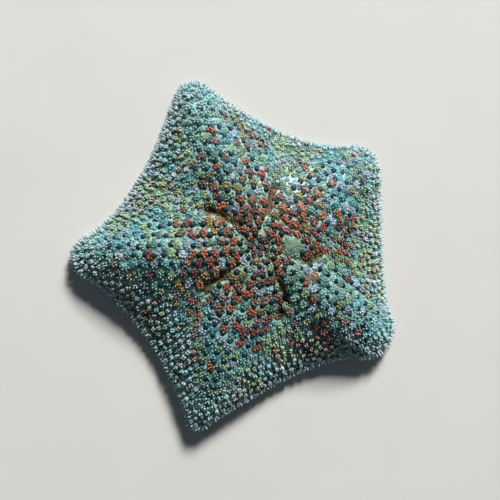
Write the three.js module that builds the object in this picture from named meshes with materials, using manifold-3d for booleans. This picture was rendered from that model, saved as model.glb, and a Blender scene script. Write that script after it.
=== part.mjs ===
// Cushion star: a small five-armed starfish with short broad arms and an inflated, petalled disc.
// It lies on its mouth side with its arms spread. Life size, in millimetres, +Z up, with the floor
// at Z 0 and the origin under the middle of the footprint. The solids reach to the tips of the
// spinelets that cover the body; the scales themselves are finer than this model.
import * as THREE from "three";
import { mergeVertices } from "three/addons/utils/BufferGeometryUtils.js";
import Module from "manifold-3d";

// ---- Driving dimensions ----

// The five arms, anticlockwise from the one that points to +X +Y: direction in degrees, reach
// from the centre of the disc, and radius of the blunt tip.
const ARMS = [
  { angle: 37.1, reach: 30.6, tip: 5.4 },
  { angle: 111.2, reach: 34.1, tip: 4.0 },
  { angle: 182.1, reach: 34.0, tip: 4.6 },
  { angle: 252.1, reach: 35.6, tip: 1.9 },
  { angle: 326.1, reach: 32.9, tip: 6.4 },
];
// The hollow of the edge between each arm and the next: direction, distance from the centre, and
// the crease that parts two petals near the centre: its direction and depth.
const HOLLOWS = [
  { angle: 73.4, reach: 23.6, crease: 77, depth: 0.5 },
  { angle: 151.2, reach: 25.5, crease: 138, depth: 0.5 },
  { angle: 219.0, reach: 26.0, crease: 214, depth: 0.7 },
  { angle: 292.0, reach: 25.4, crease: 299, depth: 0.8 },
  { angle: 349.0, reach: 27.0, crease: 349, depth: 0.4 },
];
const HEIGHT = 10.6; // middle of the disc above the floor
const MARGIN = 1.35; // thickness of the body's edge
const CUT = 0.3; // width of the thin cuts between the named parts
const BELOW_FLOOR = 1; // how far the cutters of the mouth side reach below the floor

// Petals: the inflated strips that carry the gills, one down each arm.
const PETAL = { widest: 7.4, shoulder: 9.6, end: 27, tipShare: 0.9 };
const PETAL_STEP = { rise: 0.12, halfWidth: 0.9 }; // from the skin between the arms up to a petal
const PETAL_SWELL = { rise: 0.15, start: 2, full: 8 }; // along its middle
const CREASE = { width: 0.75, start: 4.5, full: 7, fading: 8.8, end: 12 };
const CENTRE_DIP = { depth: 0.35, width: 3 };
// The larger cushions of the back stand in staggered rows, every so many points apart on each
// second ring of the surface, which falls by this depth between them.
const CUSHION = { fall: 0.45, apart: 4 };

// The edge: teeth of marginal spinelets, and a flat foot that the body rests on.
const TEETH = 136; // tufts of spinelets round the edge
const TOOTH = { depth: 0.5, height: 0.7 };
const FOOT = { inset: 0.4, width: 1.3 };
const ORAL_RISE = 0.45; // how far the mouth side arches clear of the floor inside the foot

const DISC_RADIUS = 14.5; // centre to the corners where the disc meets two arms
const GROOVE = { width: 2.8, depth: 2.6, endWidth: 1.25, endDepth: 1.0, clear: 2.4 };
// The arch of a groove from its middle to one side: share of half the width, share of the depth.
const GROOVE_ARCH = [[0, 1], [0.62, 0.88], [1, 0.45]];
const MOUTH = { radius: 3.1, roofRadius: 2.75, depth: 2.5 };
const PERISTOME = { radius: 2.45, opening: 0.65, low: 1.55, high: 2.05 };
const JAW = { inner: 0.85, outer: 2.6, innerTurn: 12, outerTurn: 25, low: 0.3, high: 1.2 };
const MADREPORITE = { angle: 8.5, fromCentre: 6.3, radius: 1.5, sunk: 0.75, proud: 0.05, clearance: 0.3 };
const TERMINAL = { fromTip: 1.55, radius: 0.8, height: 2.05, clearance: 0.3 };
const EYESPOT = { fromTip: 3.1, radius: 0.3, height: 0.45 };

// ---- Small helpers ----

const { degToRad, lerp, smoothstep, euclideanModulo } = THREE.MathUtils;
const onCircle = (degrees, radius) =>
  new THREE.Vector2(Math.cos(degToRad(degrees)), Math.sin(degToRad(degrees))).multiplyScalar(radius);
const bearingOf = (point) => THREE.MathUtils.radToDeg(point.angle());
const turnTo = (from, to) => euclideanModulo(to - from + 180, 360) - 180;
const following = (k) => (k + 1) % ARMS.length;
const before = (k) => (k + ARMS.length - 1) % ARMS.length;

// ---- Manifold solids from three.js geometries, and back ----

const wasm = await Module();
wasm.setup();

function solid(geometry) {
  const bare = new THREE.BufferGeometry();
  bare.setAttribute("position", geometry.getAttribute("position"));
  bare.setIndex(geometry.getIndex());
  const merged = mergeVertices(bare, 1e-4);
  const vertProperties = new Float32Array(merged.getAttribute("position").array);
  const triVerts = new Uint32Array(merged.getIndex().array);
  return new wasm.Manifold(new wasm.Mesh({ numProp: 3, vertProperties, triVerts }));
}

function geometryOf(manifold) {
  const { vertProperties, triVerts } = manifold.getMesh();
  const geometry = new THREE.BufferGeometry();
  geometry.setAttribute("position", new THREE.BufferAttribute(vertProperties, 3));
  geometry.setIndex(new THREE.BufferAttribute(triVerts, 1));
  geometry.computeVertexNormals();
  return geometry;
}

// A closed skin over a stack of rings. Each ring has as many points as its neighbour, or twice or
// half as many, and the two end rings close on one point each.
function skinOver(rings, first, last) {
  const points = [first, ...rings.flat(), last];
  const starts = rings.map((ring, k) => 1 + rings.slice(0, k).flat().length);
  const index = [];
  const at = (k, i) => starts[k] + (i % rings[k].length);
  rings[0].forEach((point, i) => index.push(0, at(0, i), at(0, i + 1)));
  for (let k = 0; k + 1 < rings.length; k++) {
    const [inner, outer] = [rings[k].length, rings[k + 1].length];
    for (let i = 0; i < Math.min(inner, outer); i++) {
      if (inner === outer) {
        index.push(at(k, i), at(k + 1, i), at(k + 1, i + 1));
        index.push(at(k, i), at(k + 1, i + 1), at(k, i + 1));
      } else if (inner < outer) {
        index.push(at(k, i), at(k + 1, 2 * i), at(k + 1, 2 * i + 1));
        index.push(at(k, i), at(k + 1, 2 * i + 1), at(k, i + 1));
        index.push(at(k, i + 1), at(k + 1, 2 * i + 1), at(k + 1, 2 * i + 2));
      } else {
        index.push(at(k, 2 * i), at(k + 1, i), at(k, 2 * i + 1));
        index.push(at(k, 2 * i + 1), at(k + 1, i), at(k + 1, i + 1));
        index.push(at(k, 2 * i + 1), at(k + 1, i + 1), at(k, 2 * i + 2));
      }
    }
  }
  const end = rings.length - 1;
  rings[end].forEach((point, i) => index.push(at(end, i), points.length - 1, at(end, i + 1)));
  const geometry = new THREE.BufferGeometry();
  const positions = points.flatMap((point) => point.toArray());
  geometry.setAttribute("position", new THREE.Float32BufferAttribute(positions, 3));
  geometry.setIndex(index);
  return geometry;
}

// ---- The outline: an arc round each tip, and one hollow curve from each arm to the next ----

const tipCentre = (arm) => onCircle(arm.angle, arm.reach - arm.tip);

// Where a line from a point outside touches the arc of an arm's tip.
function touch(arm, from, side) {
  const away = from.clone().sub(tipCentre(arm));
  const turn = Math.acos(Math.min(1, arm.tip / away.length()));
  return away.setLength(arm.tip).rotateAround(new THREE.Vector2(), side * turn).add(tipCentre(arm));
}

// The hollow curve passes through the hollow's own point and runs on into both tips.
function hollowCurve(hollow, k) {
  const deepest = onCircle(hollow.angle, hollow.reach);
  let control = deepest;
  for (let round = 0; round < 6; round++) {
    const start = touch(ARMS[k], control, -1);
    const end = touch(ARMS[following(k)], control, 1);
    control = deepest.clone().multiplyScalar(2).sub(start.add(end).multiplyScalar(0.5));
  }
  return { start: touch(ARMS[k], control, -1), control, end: touch(ARMS[following(k)], control, 1) };
}

function outlinePath() {
  const curves = HOLLOWS.map(hollowCurve);
  const path = new THREE.Path();
  const bearing = (point, centre) => point.clone().sub(centre).angle();
  path.moveTo(curves.at(-1).end.x, curves.at(-1).end.y);
  ARMS.forEach((arm, k) => {
    const centre = tipCentre(arm);
    const from = bearing(curves.at(k - 1).end, centre);
    path.absarc(centre.x, centre.y, arm.tip, from, bearing(curves[k].start, centre), false);
    path.quadraticCurveTo(curves[k].control.x, curves[k].control.y, curves[k].end.x, curves[k].end.y);
  });
  return path;
}

const EDGE = outlinePath().getSpacedPoints(2 * TEETH).slice(0, 2 * TEETH);

// Distance from the centre to the edge in a direction.
const edgeDistance = (bearing) =>
  EDGE.map((point) => [Math.abs(turnTo(bearingOf(point), bearing)), point.length()])
    .reduce((best, candidate) => (candidate[0] < best[0] ? candidate : best))[1];

// ---- The upper surface ----

// Direction of the line between two petals, which starts as their crease and ends in the hollow.
function seamBearing(hollow, radius) {
  const share = smoothstep(radius, PETAL.shoulder, hollow.reach);
  return hollow.crease + turnTo(hollow.crease, hollow.angle) * share;
}

// Where a point lies on the star: its nearer hollow, how far along an arm and aside from the arm's
// middle line, and how far round towards the hollow (0 on the middle line, 1 on the seam).
function placeOn(point) {
  const radius = point.length();
  const places = ARMS.map((arm, k) => {
    const turn = turnTo(arm.angle, bearingOf(point));
    const hollow = HOLLOWS[turn >= 0 ? k : before(k)];
    const gap = Math.abs(turnTo(arm.angle, seamBearing(hollow, radius)));
    return {
      arm,
      hollow,
      gap: degToRad(gap),
      along: radius * Math.cos(degToRad(turn)),
      aside: radius * Math.sin(degToRad(Math.abs(turn))),
      round: Math.min(1, Math.abs(turn) / gap),
    };
  });
  return places.reduce((best, place) => (place.round < best.round ? place : best));
}

// A rounded ridge runs out along each arm, and a lower slope lies between two arms.
const ridgeProfile = (share) => (1 - share ** 2.2) ** 0.62;
const hollowProfile = (share) => (1 - share ** 2.1) ** 0.85;

// A petal widens between its two seams, and then narrows towards the tip of its arm.
function petalHalfWidth({ arm, along, gap }) {
  const tapering = smoothstep(along, PETAL.shoulder, arm.reach);
  const tapered = lerp(PETAL.widest, PETAL.tipShare * arm.tip, tapering);
  return Math.max(0.2, Math.min(along * Math.tan(gap), tapered));
}

// Height of the upper surface at a point whose distance from the centre is this share of the edge's.
function topHeight(point, share) {
  const place = placeOn(point);
  const between = 0.5 - 0.5 * Math.cos(Math.PI * place.round);
  const slope = lerp(ridgeProfile(share), hollowProfile(share), between);
  const width = petalHalfWidth(place);
  const outside = place.aside - width;
  const fading = 1 - smoothstep(place.along, PETAL.shoulder, PETAL.end);
  const step = PETAL_STEP.rise * (1 - smoothstep(outside, -PETAL_STEP.halfWidth, PETAL_STEP.halfWidth));
  const swollen = smoothstep(place.along, PETAL_SWELL.start, PETAL_SWELL.full);
  const swell = PETAL_SWELL.rise * swollen * Math.max(0, 1 - (place.aside / width) ** 2);
  const creased = smoothstep(place.along, CREASE.start, CREASE.full) *
    (1 - smoothstep(place.along, CREASE.fading, CREASE.end));
  const crease = place.hollow.depth * creased * Math.exp(-((outside / CREASE.width) ** 2));
  const dip = CENTRE_DIP.depth * Math.exp(-((point.length() / CENTRE_DIP.width) ** 2));
  return MARGIN + (HEIGHT - MARGIN) * slope + (step + swell) * fading - crease - dip;
}

// ---- The whole body, before it is parted ----

// Share of the edge's distance and number of points of each ring of the upper surface.
const TOP_RINGS = [
  [0.06, 17], [0.13, 34], [0.2, 34], [0.28, 68], [0.35, 68], [0.42, 68], [0.5, 136], [0.58, 136],
  [0.66, 136], [0.74, 136], [0.82, 136], [0.9, 136], [0.96, 136],
];
const ORAL_RINGS = [[0.84, 68], [0.6, 68], [0.35, 34], [0.16, 17]];

// How far the surface lies below the tops of the larger cushions at a point of a ring.
function fallBetweenCushions(ring, i) {
  if (ring % 2 === 0) return CUSHION.fall;
  const step = euclideanModulo(i + ring - 1, CUSHION.apart);
  return CUSHION.fall * Math.min(step, CUSHION.apart - step) / (CUSHION.apart / 2);
}

// Every so many points of the edge, drawn in towards the centre.
const edgePoints = (count, share) =>
  EDGE.filter((point, i) => i % (EDGE.length / count) === 0).map((p) => p.clone().multiplyScalar(share));
const insetBy = (point, depth) => point.clone().setLength(point.length() - depth);
const raised = (point, z) => new THREE.Vector3(point.x, point.y, z);

function bodyGeometry() {
  const top = TOP_RINGS.map(([share, count], ring) =>
    edgePoints(count, share).map((point, i) =>
      raised(point, topHeight(point, share) - fallBetweenCushions(ring, i))));
  const shoulder = EDGE.map((point) => raised(insetBy(point, TOOTH.depth), MARGIN));
  const teeth = EDGE.map((point, i) => raised(insetBy(point, i % 2 ? TOOTH.depth : 0), TOOTH.height));
  const footOuter = EDGE.map((point) => raised(insetBy(point, FOOT.inset + TOOTH.depth / 2), 0));
  const footInner = edgePoints(TEETH, 1).map((point) =>
    raised(insetBy(point, FOOT.inset + TOOTH.depth / 2 + FOOT.width), 0));
  const oral = ORAL_RINGS.map(([share, count]) =>
    edgePoints(count, share).map((point) => raised(point, ORAL_RISE)));
  const rings = [...top, shoulder, teeth, footOuter, footInner, ...oral];
  const centre = new THREE.Vector2();
  return skinOver(rings, raised(centre, topHeight(onCircle(0, 0.01), 0)), raised(centre, ORAL_RISE));
}

// ---- Mouth side: mouth pit and the groove of tube feet down each arm ----

// A tunnel with an arched roof from the mouth to the tip, lower and narrower towards the tip.
function grooveGeometry(arm) {
  const length = arm.reach - GROOVE.clear;
  const arch = (side) => GROOVE_ARCH.map(([aside, z]) => [side * aside, z]);
  const sectionAt = (share) => {
    const half = lerp(GROOVE.width, GROOVE.endWidth, share) / 2;
    const depth = lerp(GROOVE.depth, GROOVE.endDepth, share);
    const roof = [...arch(-1).reverse(), ...arch(1).slice(1)]
      .map(([aside, z]) => [half * aside, depth * z]);
    return [[-half, -BELOW_FLOOR], ...roof, [half, -BELOW_FLOOR]]
      .map(([aside, z]) => new THREE.Vector3(share * length, aside, z));
  };
  const ends = [new THREE.Vector3(0, 0, 0), new THREE.Vector3(length, 0, 0)];
  return skinOver([0, 1].map(sectionAt), ...ends).rotateZ(degToRad(arm.angle));
}

const mouthGeometry = () =>
  new THREE.CylinderGeometry(MOUTH.roofRadius, MOUTH.radius, MOUTH.depth + BELOW_FLOOR, 30)
    .rotateX(Math.PI / 2)
    .translate(0, 0, (MOUTH.depth - BELOW_FLOOR) / 2);

// ---- Cutters that part the body into disc and arms ----

// Where two lines meet, each given by the direction of its normal and its distance from the centre.
function meet(a, b) {
  const [p, q] = [onCircle(a.normal, 1), onCircle(b.normal, 1)];
  const across = p.cross(q);
  const x = (a.distance * q.y - b.distance * p.y) / across;
  const y = (b.distance * p.x - a.distance * q.x) / across;
  return new THREE.Vector2(x, y);
}

const prism = (corners) =>
  new THREE.ExtrudeGeometry(new THREE.Shape(corners), { depth: 2 * HEIGHT, bevelEnabled: false })
    .translate(0, 0, -BELOW_FLOOR);

// The straight line on which each arm joins the disc, moved out by a distance.
const joinLine = (k, moved) => {
  const spread = turnTo(HOLLOWS[before(k)].angle, HOLLOWS[k].angle) / 2;
  return { normal: HOLLOWS[k].angle - spread, distance: DISC_RADIUS * Math.cos(degToRad(spread)) + moved };
};

const discPrism = () =>
  prism(ARMS.map((arm, k) => meet(joinLine(k, -CUT / 2), joinLine(following(k), -CUT / 2))));

function armPrism(k) {
  const join = joinLine(k, CUT / 2);
  const right = { normal: HOLLOWS[before(k)].angle + 90, distance: CUT / 2 };
  const left = { normal: HOLLOWS[k].angle - 90, distance: CUT / 2 };
  const beyond = { normal: join.normal, distance: 2 * ARMS[k].reach };
  return prism([meet(join, right), meet(beyond, right), meet(beyond, left), meet(join, left)]);
}

// ---- Hard pieces that stay whole ----

// Sieve plate of the water system, a low button set in the disc between the last arm and the
// first. Grown by a clearance, and open at the top, it is also the cutter for its own pit.
function madreporiteGeometry(clearance) {
  const { angle, fromCentre, radius, sunk, proud } = MADREPORITE;
  const spot = onCircle(angle, fromCentre);
  const reach = edgeDistance(angle);
  const heightAt = (distance) => topHeight(onCircle(angle, distance), distance / reach);
  const tilt = Math.atan2(heightAt(fromCentre - radius) - heightAt(fromCentre + radius), 2 * radius);
  const rim = clearance ? HEIGHT / 4 : -sunk / 3;
  const crown = clearance ? HEIGHT / 4 : proud;
  const profile = [[0, -sunk - clearance], [radius + clearance, -sunk - clearance],
    [radius + clearance, rim], [radius * 0.8 + clearance, crown], [0, crown]];
  return new THREE.LatheGeometry(profile.map(([r, y]) => new THREE.Vector2(r, y)), 24)
    .rotateX(Math.PI / 2)
    .rotateY(tilt)
    .rotateZ(degToRad(angle))
    .translate(spot.x, spot.y, heightAt(fromCentre));
}

// Small cap over the end of each arm.
function terminalGeometry(arm, clearance) {
  const spot = onCircle(arm.angle, arm.reach - TERMINAL.fromTip);
  return new THREE.SphereGeometry(TERMINAL.radius + clearance, 10, 7)
    .translate(spot.x, spot.y, TERMINAL.height);
}

// Light-sensitive spot on the mouth side of each tip, at the end of the groove.
function eyespotGeometry(arm) {
  const spot = onCircle(arm.angle, arm.reach - EYESPOT.fromTip);
  return new THREE.SphereGeometry(EYESPOT.radius, 8, 6).translate(spot.x, spot.y, EYESPOT.height);
}

// Five wedges that point into the mouth, one midway between each two arms.
function jawGeometry(k) {
  const corner = (turn, radius) => onCircle(HOLLOWS[k].angle + turn, radius);
  const wedge = new THREE.Shape([
    corner(-JAW.innerTurn, JAW.inner), corner(-JAW.outerTurn, JAW.outer), corner(0, JAW.outer),
    corner(JAW.outerTurn, JAW.outer), corner(JAW.innerTurn, JAW.inner),
  ]);
  return new THREE.ExtrudeGeometry(wedge, { depth: JAW.high - JAW.low, bevelEnabled: false })
    .translate(0, 0, JAW.low);
}

// Soft membrane across the roof of the mouth, with the mouth's own opening in its middle.
const peristomeGeometry = () =>
  new THREE.LatheGeometry(
    [
      new THREE.Vector2(PERISTOME.opening, PERISTOME.low + 0.1),
      new THREE.Vector2(PERISTOME.radius * 0.6, PERISTOME.low),
      new THREE.Vector2(PERISTOME.radius, PERISTOME.low + 0.15),
      new THREE.Vector2(PERISTOME.radius * 0.93, PERISTOME.high),
      new THREE.Vector2(PERISTOME.opening, PERISTOME.high - 0.1),
      new THREE.Vector2(PERISTOME.opening, PERISTOME.low + 0.1),
    ],
    20,
  ).rotateX(Math.PI / 2);

// ---- Assembly ----

const finish = (color, roughness) => new THREE.MeshStandardMaterial({ color, roughness, metalness: 0 });
const MATERIALS = {
  disc: finish(0x6d8f86, 0.5),
  arm: finish(0x64aeb0, 0.5),
  madreporite: finish(0x9fb59a, 0.6),
  terminal: finish(0xb9d8d2, 0.45),
  eyespot: finish(0xa3262a, 0.35),
  jaw: finish(0xd9d2bd, 0.55),
  peristome: finish(0xcbb79c, 0.5),
};

const star = new THREE.Group();
function addPiece(name, geometry, material) {
  const mesh = new THREE.Mesh(geometry, material);
  mesh.name = name;
  star.add(mesh);
}

const hollowed = [
  mouthGeometry(),
  madreporiteGeometry(MADREPORITE.clearance),
  ...ARMS.map(grooveGeometry),
  ...ARMS.map((arm) => terminalGeometry(arm, TERMINAL.clearance)),
].reduce((body, cutter) => body.subtract(solid(cutter)), solid(bodyGeometry()));

addPiece("disc", geometryOf(hollowed.intersect(solid(discPrism()))), MATERIALS.disc);
addPiece("madreporite", madreporiteGeometry(0), MATERIALS.madreporite);
addPiece("peristome", peristomeGeometry(), MATERIALS.peristome);
ARMS.forEach((arm, k) => {
  addPiece(`arm_${k + 1}`, geometryOf(hollowed.intersect(solid(armPrism(k)))), MATERIALS.arm);
  addPiece(`terminal_plate_${k + 1}`, terminalGeometry(arm, 0), MATERIALS.terminal);
  addPiece(`eyespot_${k + 1}`, eyespotGeometry(arm), MATERIALS.eyespot);
  addPiece(`jaw_${k + 1}`, jawGeometry(k), MATERIALS.jaw);
});

// The origin goes under the middle of the footprint.
const middle = new THREE.Box3().setFromObject(star).getCenter(new THREE.Vector3());
star.position.set(-middle.x, -middle.y, 0);

const specimen = new THREE.Group();
specimen.add(star);
export default specimen;
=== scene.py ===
import math

import bpy
import numpy as np
from mathutils import Matrix, Vector, kdtree


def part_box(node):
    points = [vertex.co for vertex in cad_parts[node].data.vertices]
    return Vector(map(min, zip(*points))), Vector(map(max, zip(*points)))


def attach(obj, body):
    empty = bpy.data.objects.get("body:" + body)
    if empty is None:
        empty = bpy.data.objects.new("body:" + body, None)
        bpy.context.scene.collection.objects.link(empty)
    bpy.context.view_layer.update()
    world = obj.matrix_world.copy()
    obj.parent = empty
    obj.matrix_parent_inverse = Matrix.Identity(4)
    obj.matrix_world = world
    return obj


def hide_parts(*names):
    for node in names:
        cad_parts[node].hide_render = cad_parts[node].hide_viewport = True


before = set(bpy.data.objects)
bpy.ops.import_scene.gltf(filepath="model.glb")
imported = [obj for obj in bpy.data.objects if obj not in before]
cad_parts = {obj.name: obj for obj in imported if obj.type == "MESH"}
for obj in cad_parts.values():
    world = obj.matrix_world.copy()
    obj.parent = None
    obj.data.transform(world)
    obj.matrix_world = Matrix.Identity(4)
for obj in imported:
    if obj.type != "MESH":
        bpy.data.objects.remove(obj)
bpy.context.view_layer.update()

# ---- Skin of the body ----
# A starfish is a bag of soft skin over a chalky skeleton, flat below and domed above, with a
# petal-like swelling along each arm. Here it is one skin without seams, just under the tips of the
# granules, from the middle of the back round the thin edge to the mouth. Sizes are millimetres.

MM = 0.001
ARMS = [  # direction in degrees, reach from the disc's centre, radius of the blunt tip
    dict(angle=37.1, reach=30.6, tip=5.4),
    dict(angle=111.2, reach=34.1, tip=4.0),
    dict(angle=182.1, reach=34.0, tip=4.6),
    dict(angle=252.1, reach=35.6, tip=1.9),
    dict(angle=326.1, reach=32.9, tip=6.4),
]
HOLLOWS = [  # of the edge between two arms, with the crease that starts each near the centre
    dict(angle=73.4, reach=23.6, crease=77, depth=0.5),
    dict(angle=151.2, reach=25.5, crease=138, depth=0.5),
    dict(angle=219.0, reach=26.0, crease=214, depth=0.7),
    dict(angle=292.0, reach=25.4, crease=299, depth=0.8),
    dict(angle=349.0, reach=27.0, crease=349, depth=0.4),
]
HEIGHT = 10.6
MARGIN = 1.35  # thickness of the body's edge, out to the spinelets
RIDGE_CURVE = (2.2, 0.62)  # how flat the top of an arm's middle line is, and how round its end
HOLLOW_CURVE = (2.1, 0.85)  # the same between two arms
PETAL = dict(widest=7.4, shoulder=9.6, end=27, tip_share=0.9)
PETAL_STEP = dict(rise=0.12, half_width=0.9)
PETAL_SWELL = dict(rise=0.15, start=2, full=8)
CREASE = dict(width=0.75, start=4.5, full=7, fading=8.8, end=12)
CENTRE_DIP = dict(depth=0.35, width=3)
TOOTH_DEPTH = 0.5  # of the notch between two tufts of spinelets
TEETH = 136  # tufts of spinelets round the edge
COAT = 0.62  # from the skin to the tips of the granules

mouth_low, mouth_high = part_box("peristome")
CENTRE = np.array([(mouth_low[0] + mouth_high[0]) / 2 / MM, (mouth_low[1] + mouth_high[1]) / 2 / MM, 0])


def heading(turn):
    """Directions at some turns in radians."""
    return np.stack([np.cos(turn), np.sin(turn)], -1)


def on_circle(degrees, radius):
    """Points at some directions and distances from the centre."""
    return heading(np.radians(degrees)) * np.expand_dims(radius, -1)


def leftward(directions):
    """Directions seen from above turned a quarter to the left."""
    return np.stack([-directions[..., 1], directions[..., 0]], -1)


def raised(points, height):
    """Points seen from above, given a height."""
    return np.column_stack([points, np.broadcast_to(height, len(points))])


def length_of(vectors):
    return np.linalg.norm(vectors, axis=-1)


def unit(vectors):
    return vectors / length_of(vectors)[..., None]


def bearing_of(points):
    return np.degrees(np.arctan2(points[..., 1], points[..., 0])) % 360


def turn_to(start, end):
    return (end - start + 180) % 360 - 180


def smoothstep(x, low, high):
    t = np.clip((x - low) / (high - low), 0, 1)
    return t * t * (3 - 2 * t)


def mixed(a, b, share):
    return a + (b - a) * share


def touch(arm, point, side):
    """Where a line from a point outside touches the arc of an arm's tip."""
    centre = on_circle(arm["angle"], arm["reach"] - arm["tip"])
    away = point - centre
    turn = np.degrees(np.arccos(min(1, arm["tip"] / np.linalg.norm(away))))
    return centre + on_circle(bearing_of(away) + side * turn, arm["tip"])


def outline():
    """The edge seen from above: an arc round each tip, and one hollow curve from arm to arm."""
    curves = []
    for k, hollow in enumerate(HOLLOWS):
        deepest = on_circle(hollow["angle"], hollow["reach"])
        control = deepest
        for _ in range(7):
            start = touch(ARMS[k], control, -1)
            end = touch(ARMS[(k + 1) % 5], control, 1)
            used, control = control, 2 * deepest - (start + end) / 2
        curves.append((start, used, end))
    points = []
    for k, arm in enumerate(ARMS):
        centre = on_circle(arm["angle"], arm["reach"] - arm["tip"])
        first = bearing_of(curves[k - 1][2] - centre)
        sweep = (bearing_of(curves[k][0] - centre) - first) % 360
        points.append(on_circle(first + np.linspace(0, sweep, 60, endpoint=False), arm["tip"]) + centre)
        t = np.linspace(0, 1, 150, endpoint=False)[:, None]
        start, control, end = curves[k]
        points.append((1 - t) ** 2 * start + 2 * t * (1 - t) * control + t * t * end)
    return np.concatenate(points)


OUTLINE = outline()
order = np.argsort(bearing_of(OUTLINE))
EDGE_BEARINGS = bearing_of(OUTLINE)[order]
EDGE_REACHES = length_of(OUTLINE)[order]


def edge_distance(bearing):
    return np.interp(bearing, EDGE_BEARINGS, EDGE_REACHES, period=360)


def spaced_edge(count):
    """Points evenly spaced round the edge, and the outward direction at each."""
    closed = np.vstack([OUTLINE, OUTLINE[:1]])
    travelled = np.concatenate([[0], np.cumsum(length_of(np.diff(closed, axis=0)))])
    at = np.arange(count) / count * travelled[-1]
    points = np.stack([np.interp(at, travelled, closed[:, axis]) for axis in (0, 1)], -1)
    return points, unit(-leftward(np.roll(points, -1, 0) - np.roll(points, 1, 0)))


def place_on(points):
    """Each point's arm and hollow, how far along and aside of the arm's middle line it is, and how
    far round towards the seam between two petals (0 on the middle line, 1 on the seam)."""
    radius = length_of(points)
    bearing = bearing_of(points)
    found = []
    for k, arm in enumerate(ARMS):
        turn = turn_to(arm["angle"], bearing)
        hollow = np.where(turn >= 0, k, (k - 1) % 5)
        facts = {key: np.array([h[key] for h in HOLLOWS])[hollow] for key in HOLLOWS[0]}
        share = smoothstep(radius, PETAL["shoulder"], facts["reach"])
        seam = facts["crease"] + turn_to(facts["crease"], facts["angle"]) * share
        gap = np.abs(turn_to(arm["angle"], seam))
        place = dict(arm=np.full(len(points), k), tip=np.full(len(points), arm["tip"]))
        place |= dict(reach=np.full(len(points), arm["reach"]), depth=facts["depth"], gap=np.radians(gap))
        place["along"], place["aside"] = on_circle(turn, radius).T
        found.append(place | dict(round=np.minimum(1, np.abs(turn) / gap)))
    nearest = np.argmin([place["round"] for place in found], axis=0)
    return {key: np.choose(nearest, [place[key] for place in found]) for key in found[0]}


def petal_half_width(place):
    tapering = smoothstep(place["along"], PETAL["shoulder"], place["reach"])
    tapered = mixed(PETAL["widest"], PETAL["tip_share"] * place["tip"], tapering)
    return np.maximum(0.2, np.minimum(place["along"] * np.tan(place["gap"]), tapered))


def crease_at(place):
    """How deep the crease beside a petal is at each point."""
    deepening = smoothstep(place["along"], CREASE["start"], CREASE["full"])
    fading = 1 - smoothstep(place["along"], CREASE["fading"], CREASE["end"])
    outside = np.abs(place["aside"]) - petal_half_width(place)
    return place["depth"] * (deepening * fading) * np.exp(-((outside / CREASE["width"]) ** 2))


def dome(share, curve):
    flatness, roundness = curve
    return (1 - share**flatness) ** roundness


def top_height(points):
    """Height of the upper surface, out to the tips of the granules."""
    share = np.minimum(1, length_of(points) / edge_distance(bearing_of(points)))
    place = place_on(points)
    between = 0.5 - 0.5 * np.cos(np.pi * place["round"])
    slope = mixed(dome(share, RIDGE_CURVE), dome(share, HOLLOW_CURVE), between)
    width = petal_half_width(place)
    outside = np.abs(place["aside"]) - width
    fading = 1 - smoothstep(place["along"], PETAL["shoulder"], PETAL["end"])
    half = PETAL_STEP["half_width"]
    step = PETAL_STEP["rise"] * (1 - smoothstep(outside, -half, half))
    swollen = smoothstep(place["along"], PETAL_SWELL["start"], PETAL_SWELL["full"])
    swell = PETAL_SWELL["rise"] * swollen * np.maximum(0, 1 - (place["aside"] / width) ** 2)
    dip = CENTRE_DIP["depth"] * np.exp(-((length_of(points) / CENTRE_DIP["width"]) ** 2))
    return MARGIN + (HEIGHT - MARGIN) * slope + (step + swell) * fading - crease_at(place) - dip


def top_normal(points):
    """Outward direction of the upper surface, from its slope over a quarter of a millimetre."""
    moves = np.array([[0.12, 0], [0, 0.12]])
    slopes = [(top_height(points + move) - top_height(points - move)) / 0.24 for move in moves]
    return unit(np.stack([-slopes[0], -slopes[1], np.ones(len(points))], -1))


MARGIN_BAND = (0.62, 0.93)  # shares of the way out to the edge


def margin_share(points):
    """How near points of the back are to the edge: 0 over the middle, 1 at the edge."""
    share = length_of(points) / edge_distance(bearing_of(points))
    return smoothstep(share, *MARGIN_BAND)


def solid_place(points):
    """Points of the back on its upper surface."""
    return raised(points, top_height(points))


def on_skin(points):
    """Points of the back lowered through its coat to the skin, and the outward direction."""
    normal = top_normal(points)
    return solid_place(points) - normal * COAT, normal


# The mouth side: arched clear of the floor inside the edge, with a groove along each arm that
# leads to the mouth pit.
ORAL = dict(rim=0.34, roof=0.95, start=1.1, full=3.0)
GROOVE = dict(width=2.8, depth=2.6, end_width=1.25, end_depth=1.0, clear=2.4)
MOUTH = dict(radius=3.0, depth=2.55, soft=0.3)


def groove_half(share):
    """Half the width of a groove at a share of its length."""
    return mixed(GROOVE["width"], GROOVE["end_width"], share) / 2


def beside_groove(points, arm):
    """How far points are along an arm and aside of its middle line, and the length of its groove."""
    along, aside = on_circle(turn_to(arm["angle"], bearing_of(points)), length_of(points)).T
    return along, np.abs(aside), arm["reach"] - GROOVE["clear"]


def oral_height(points):
    """Height of the mouth side's skin above the floor."""
    radius = length_of(points)
    inside = edge_distance(bearing_of(points)) - radius
    height = mixed(ORAL["rim"], ORAL["roof"], smoothstep(inside, ORAL["start"], ORAL["full"]))
    for arm in ARMS:
        along, aside, length = beside_groove(points, arm)
        share = np.clip(along / length, 0, 1)
        half = groove_half(share)
        depth = mixed(GROOVE["depth"], GROOVE["end_depth"], share)
        arch = np.sqrt(np.clip(1 - (aside / half) ** 4, 0, 1)) * smoothstep(length - along, 0, 1)
        arched = np.maximum(height, mixed(height, depth, arch))
        height = np.where((along > 0) & (aside < half), arched, height)
    pit = 1 - smoothstep(radius, MOUTH["radius"] - MOUTH["soft"], MOUTH["radius"] + MOUTH["soft"])
    return np.maximum(height, mixed(height, MOUTH["depth"], pit))


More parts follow.
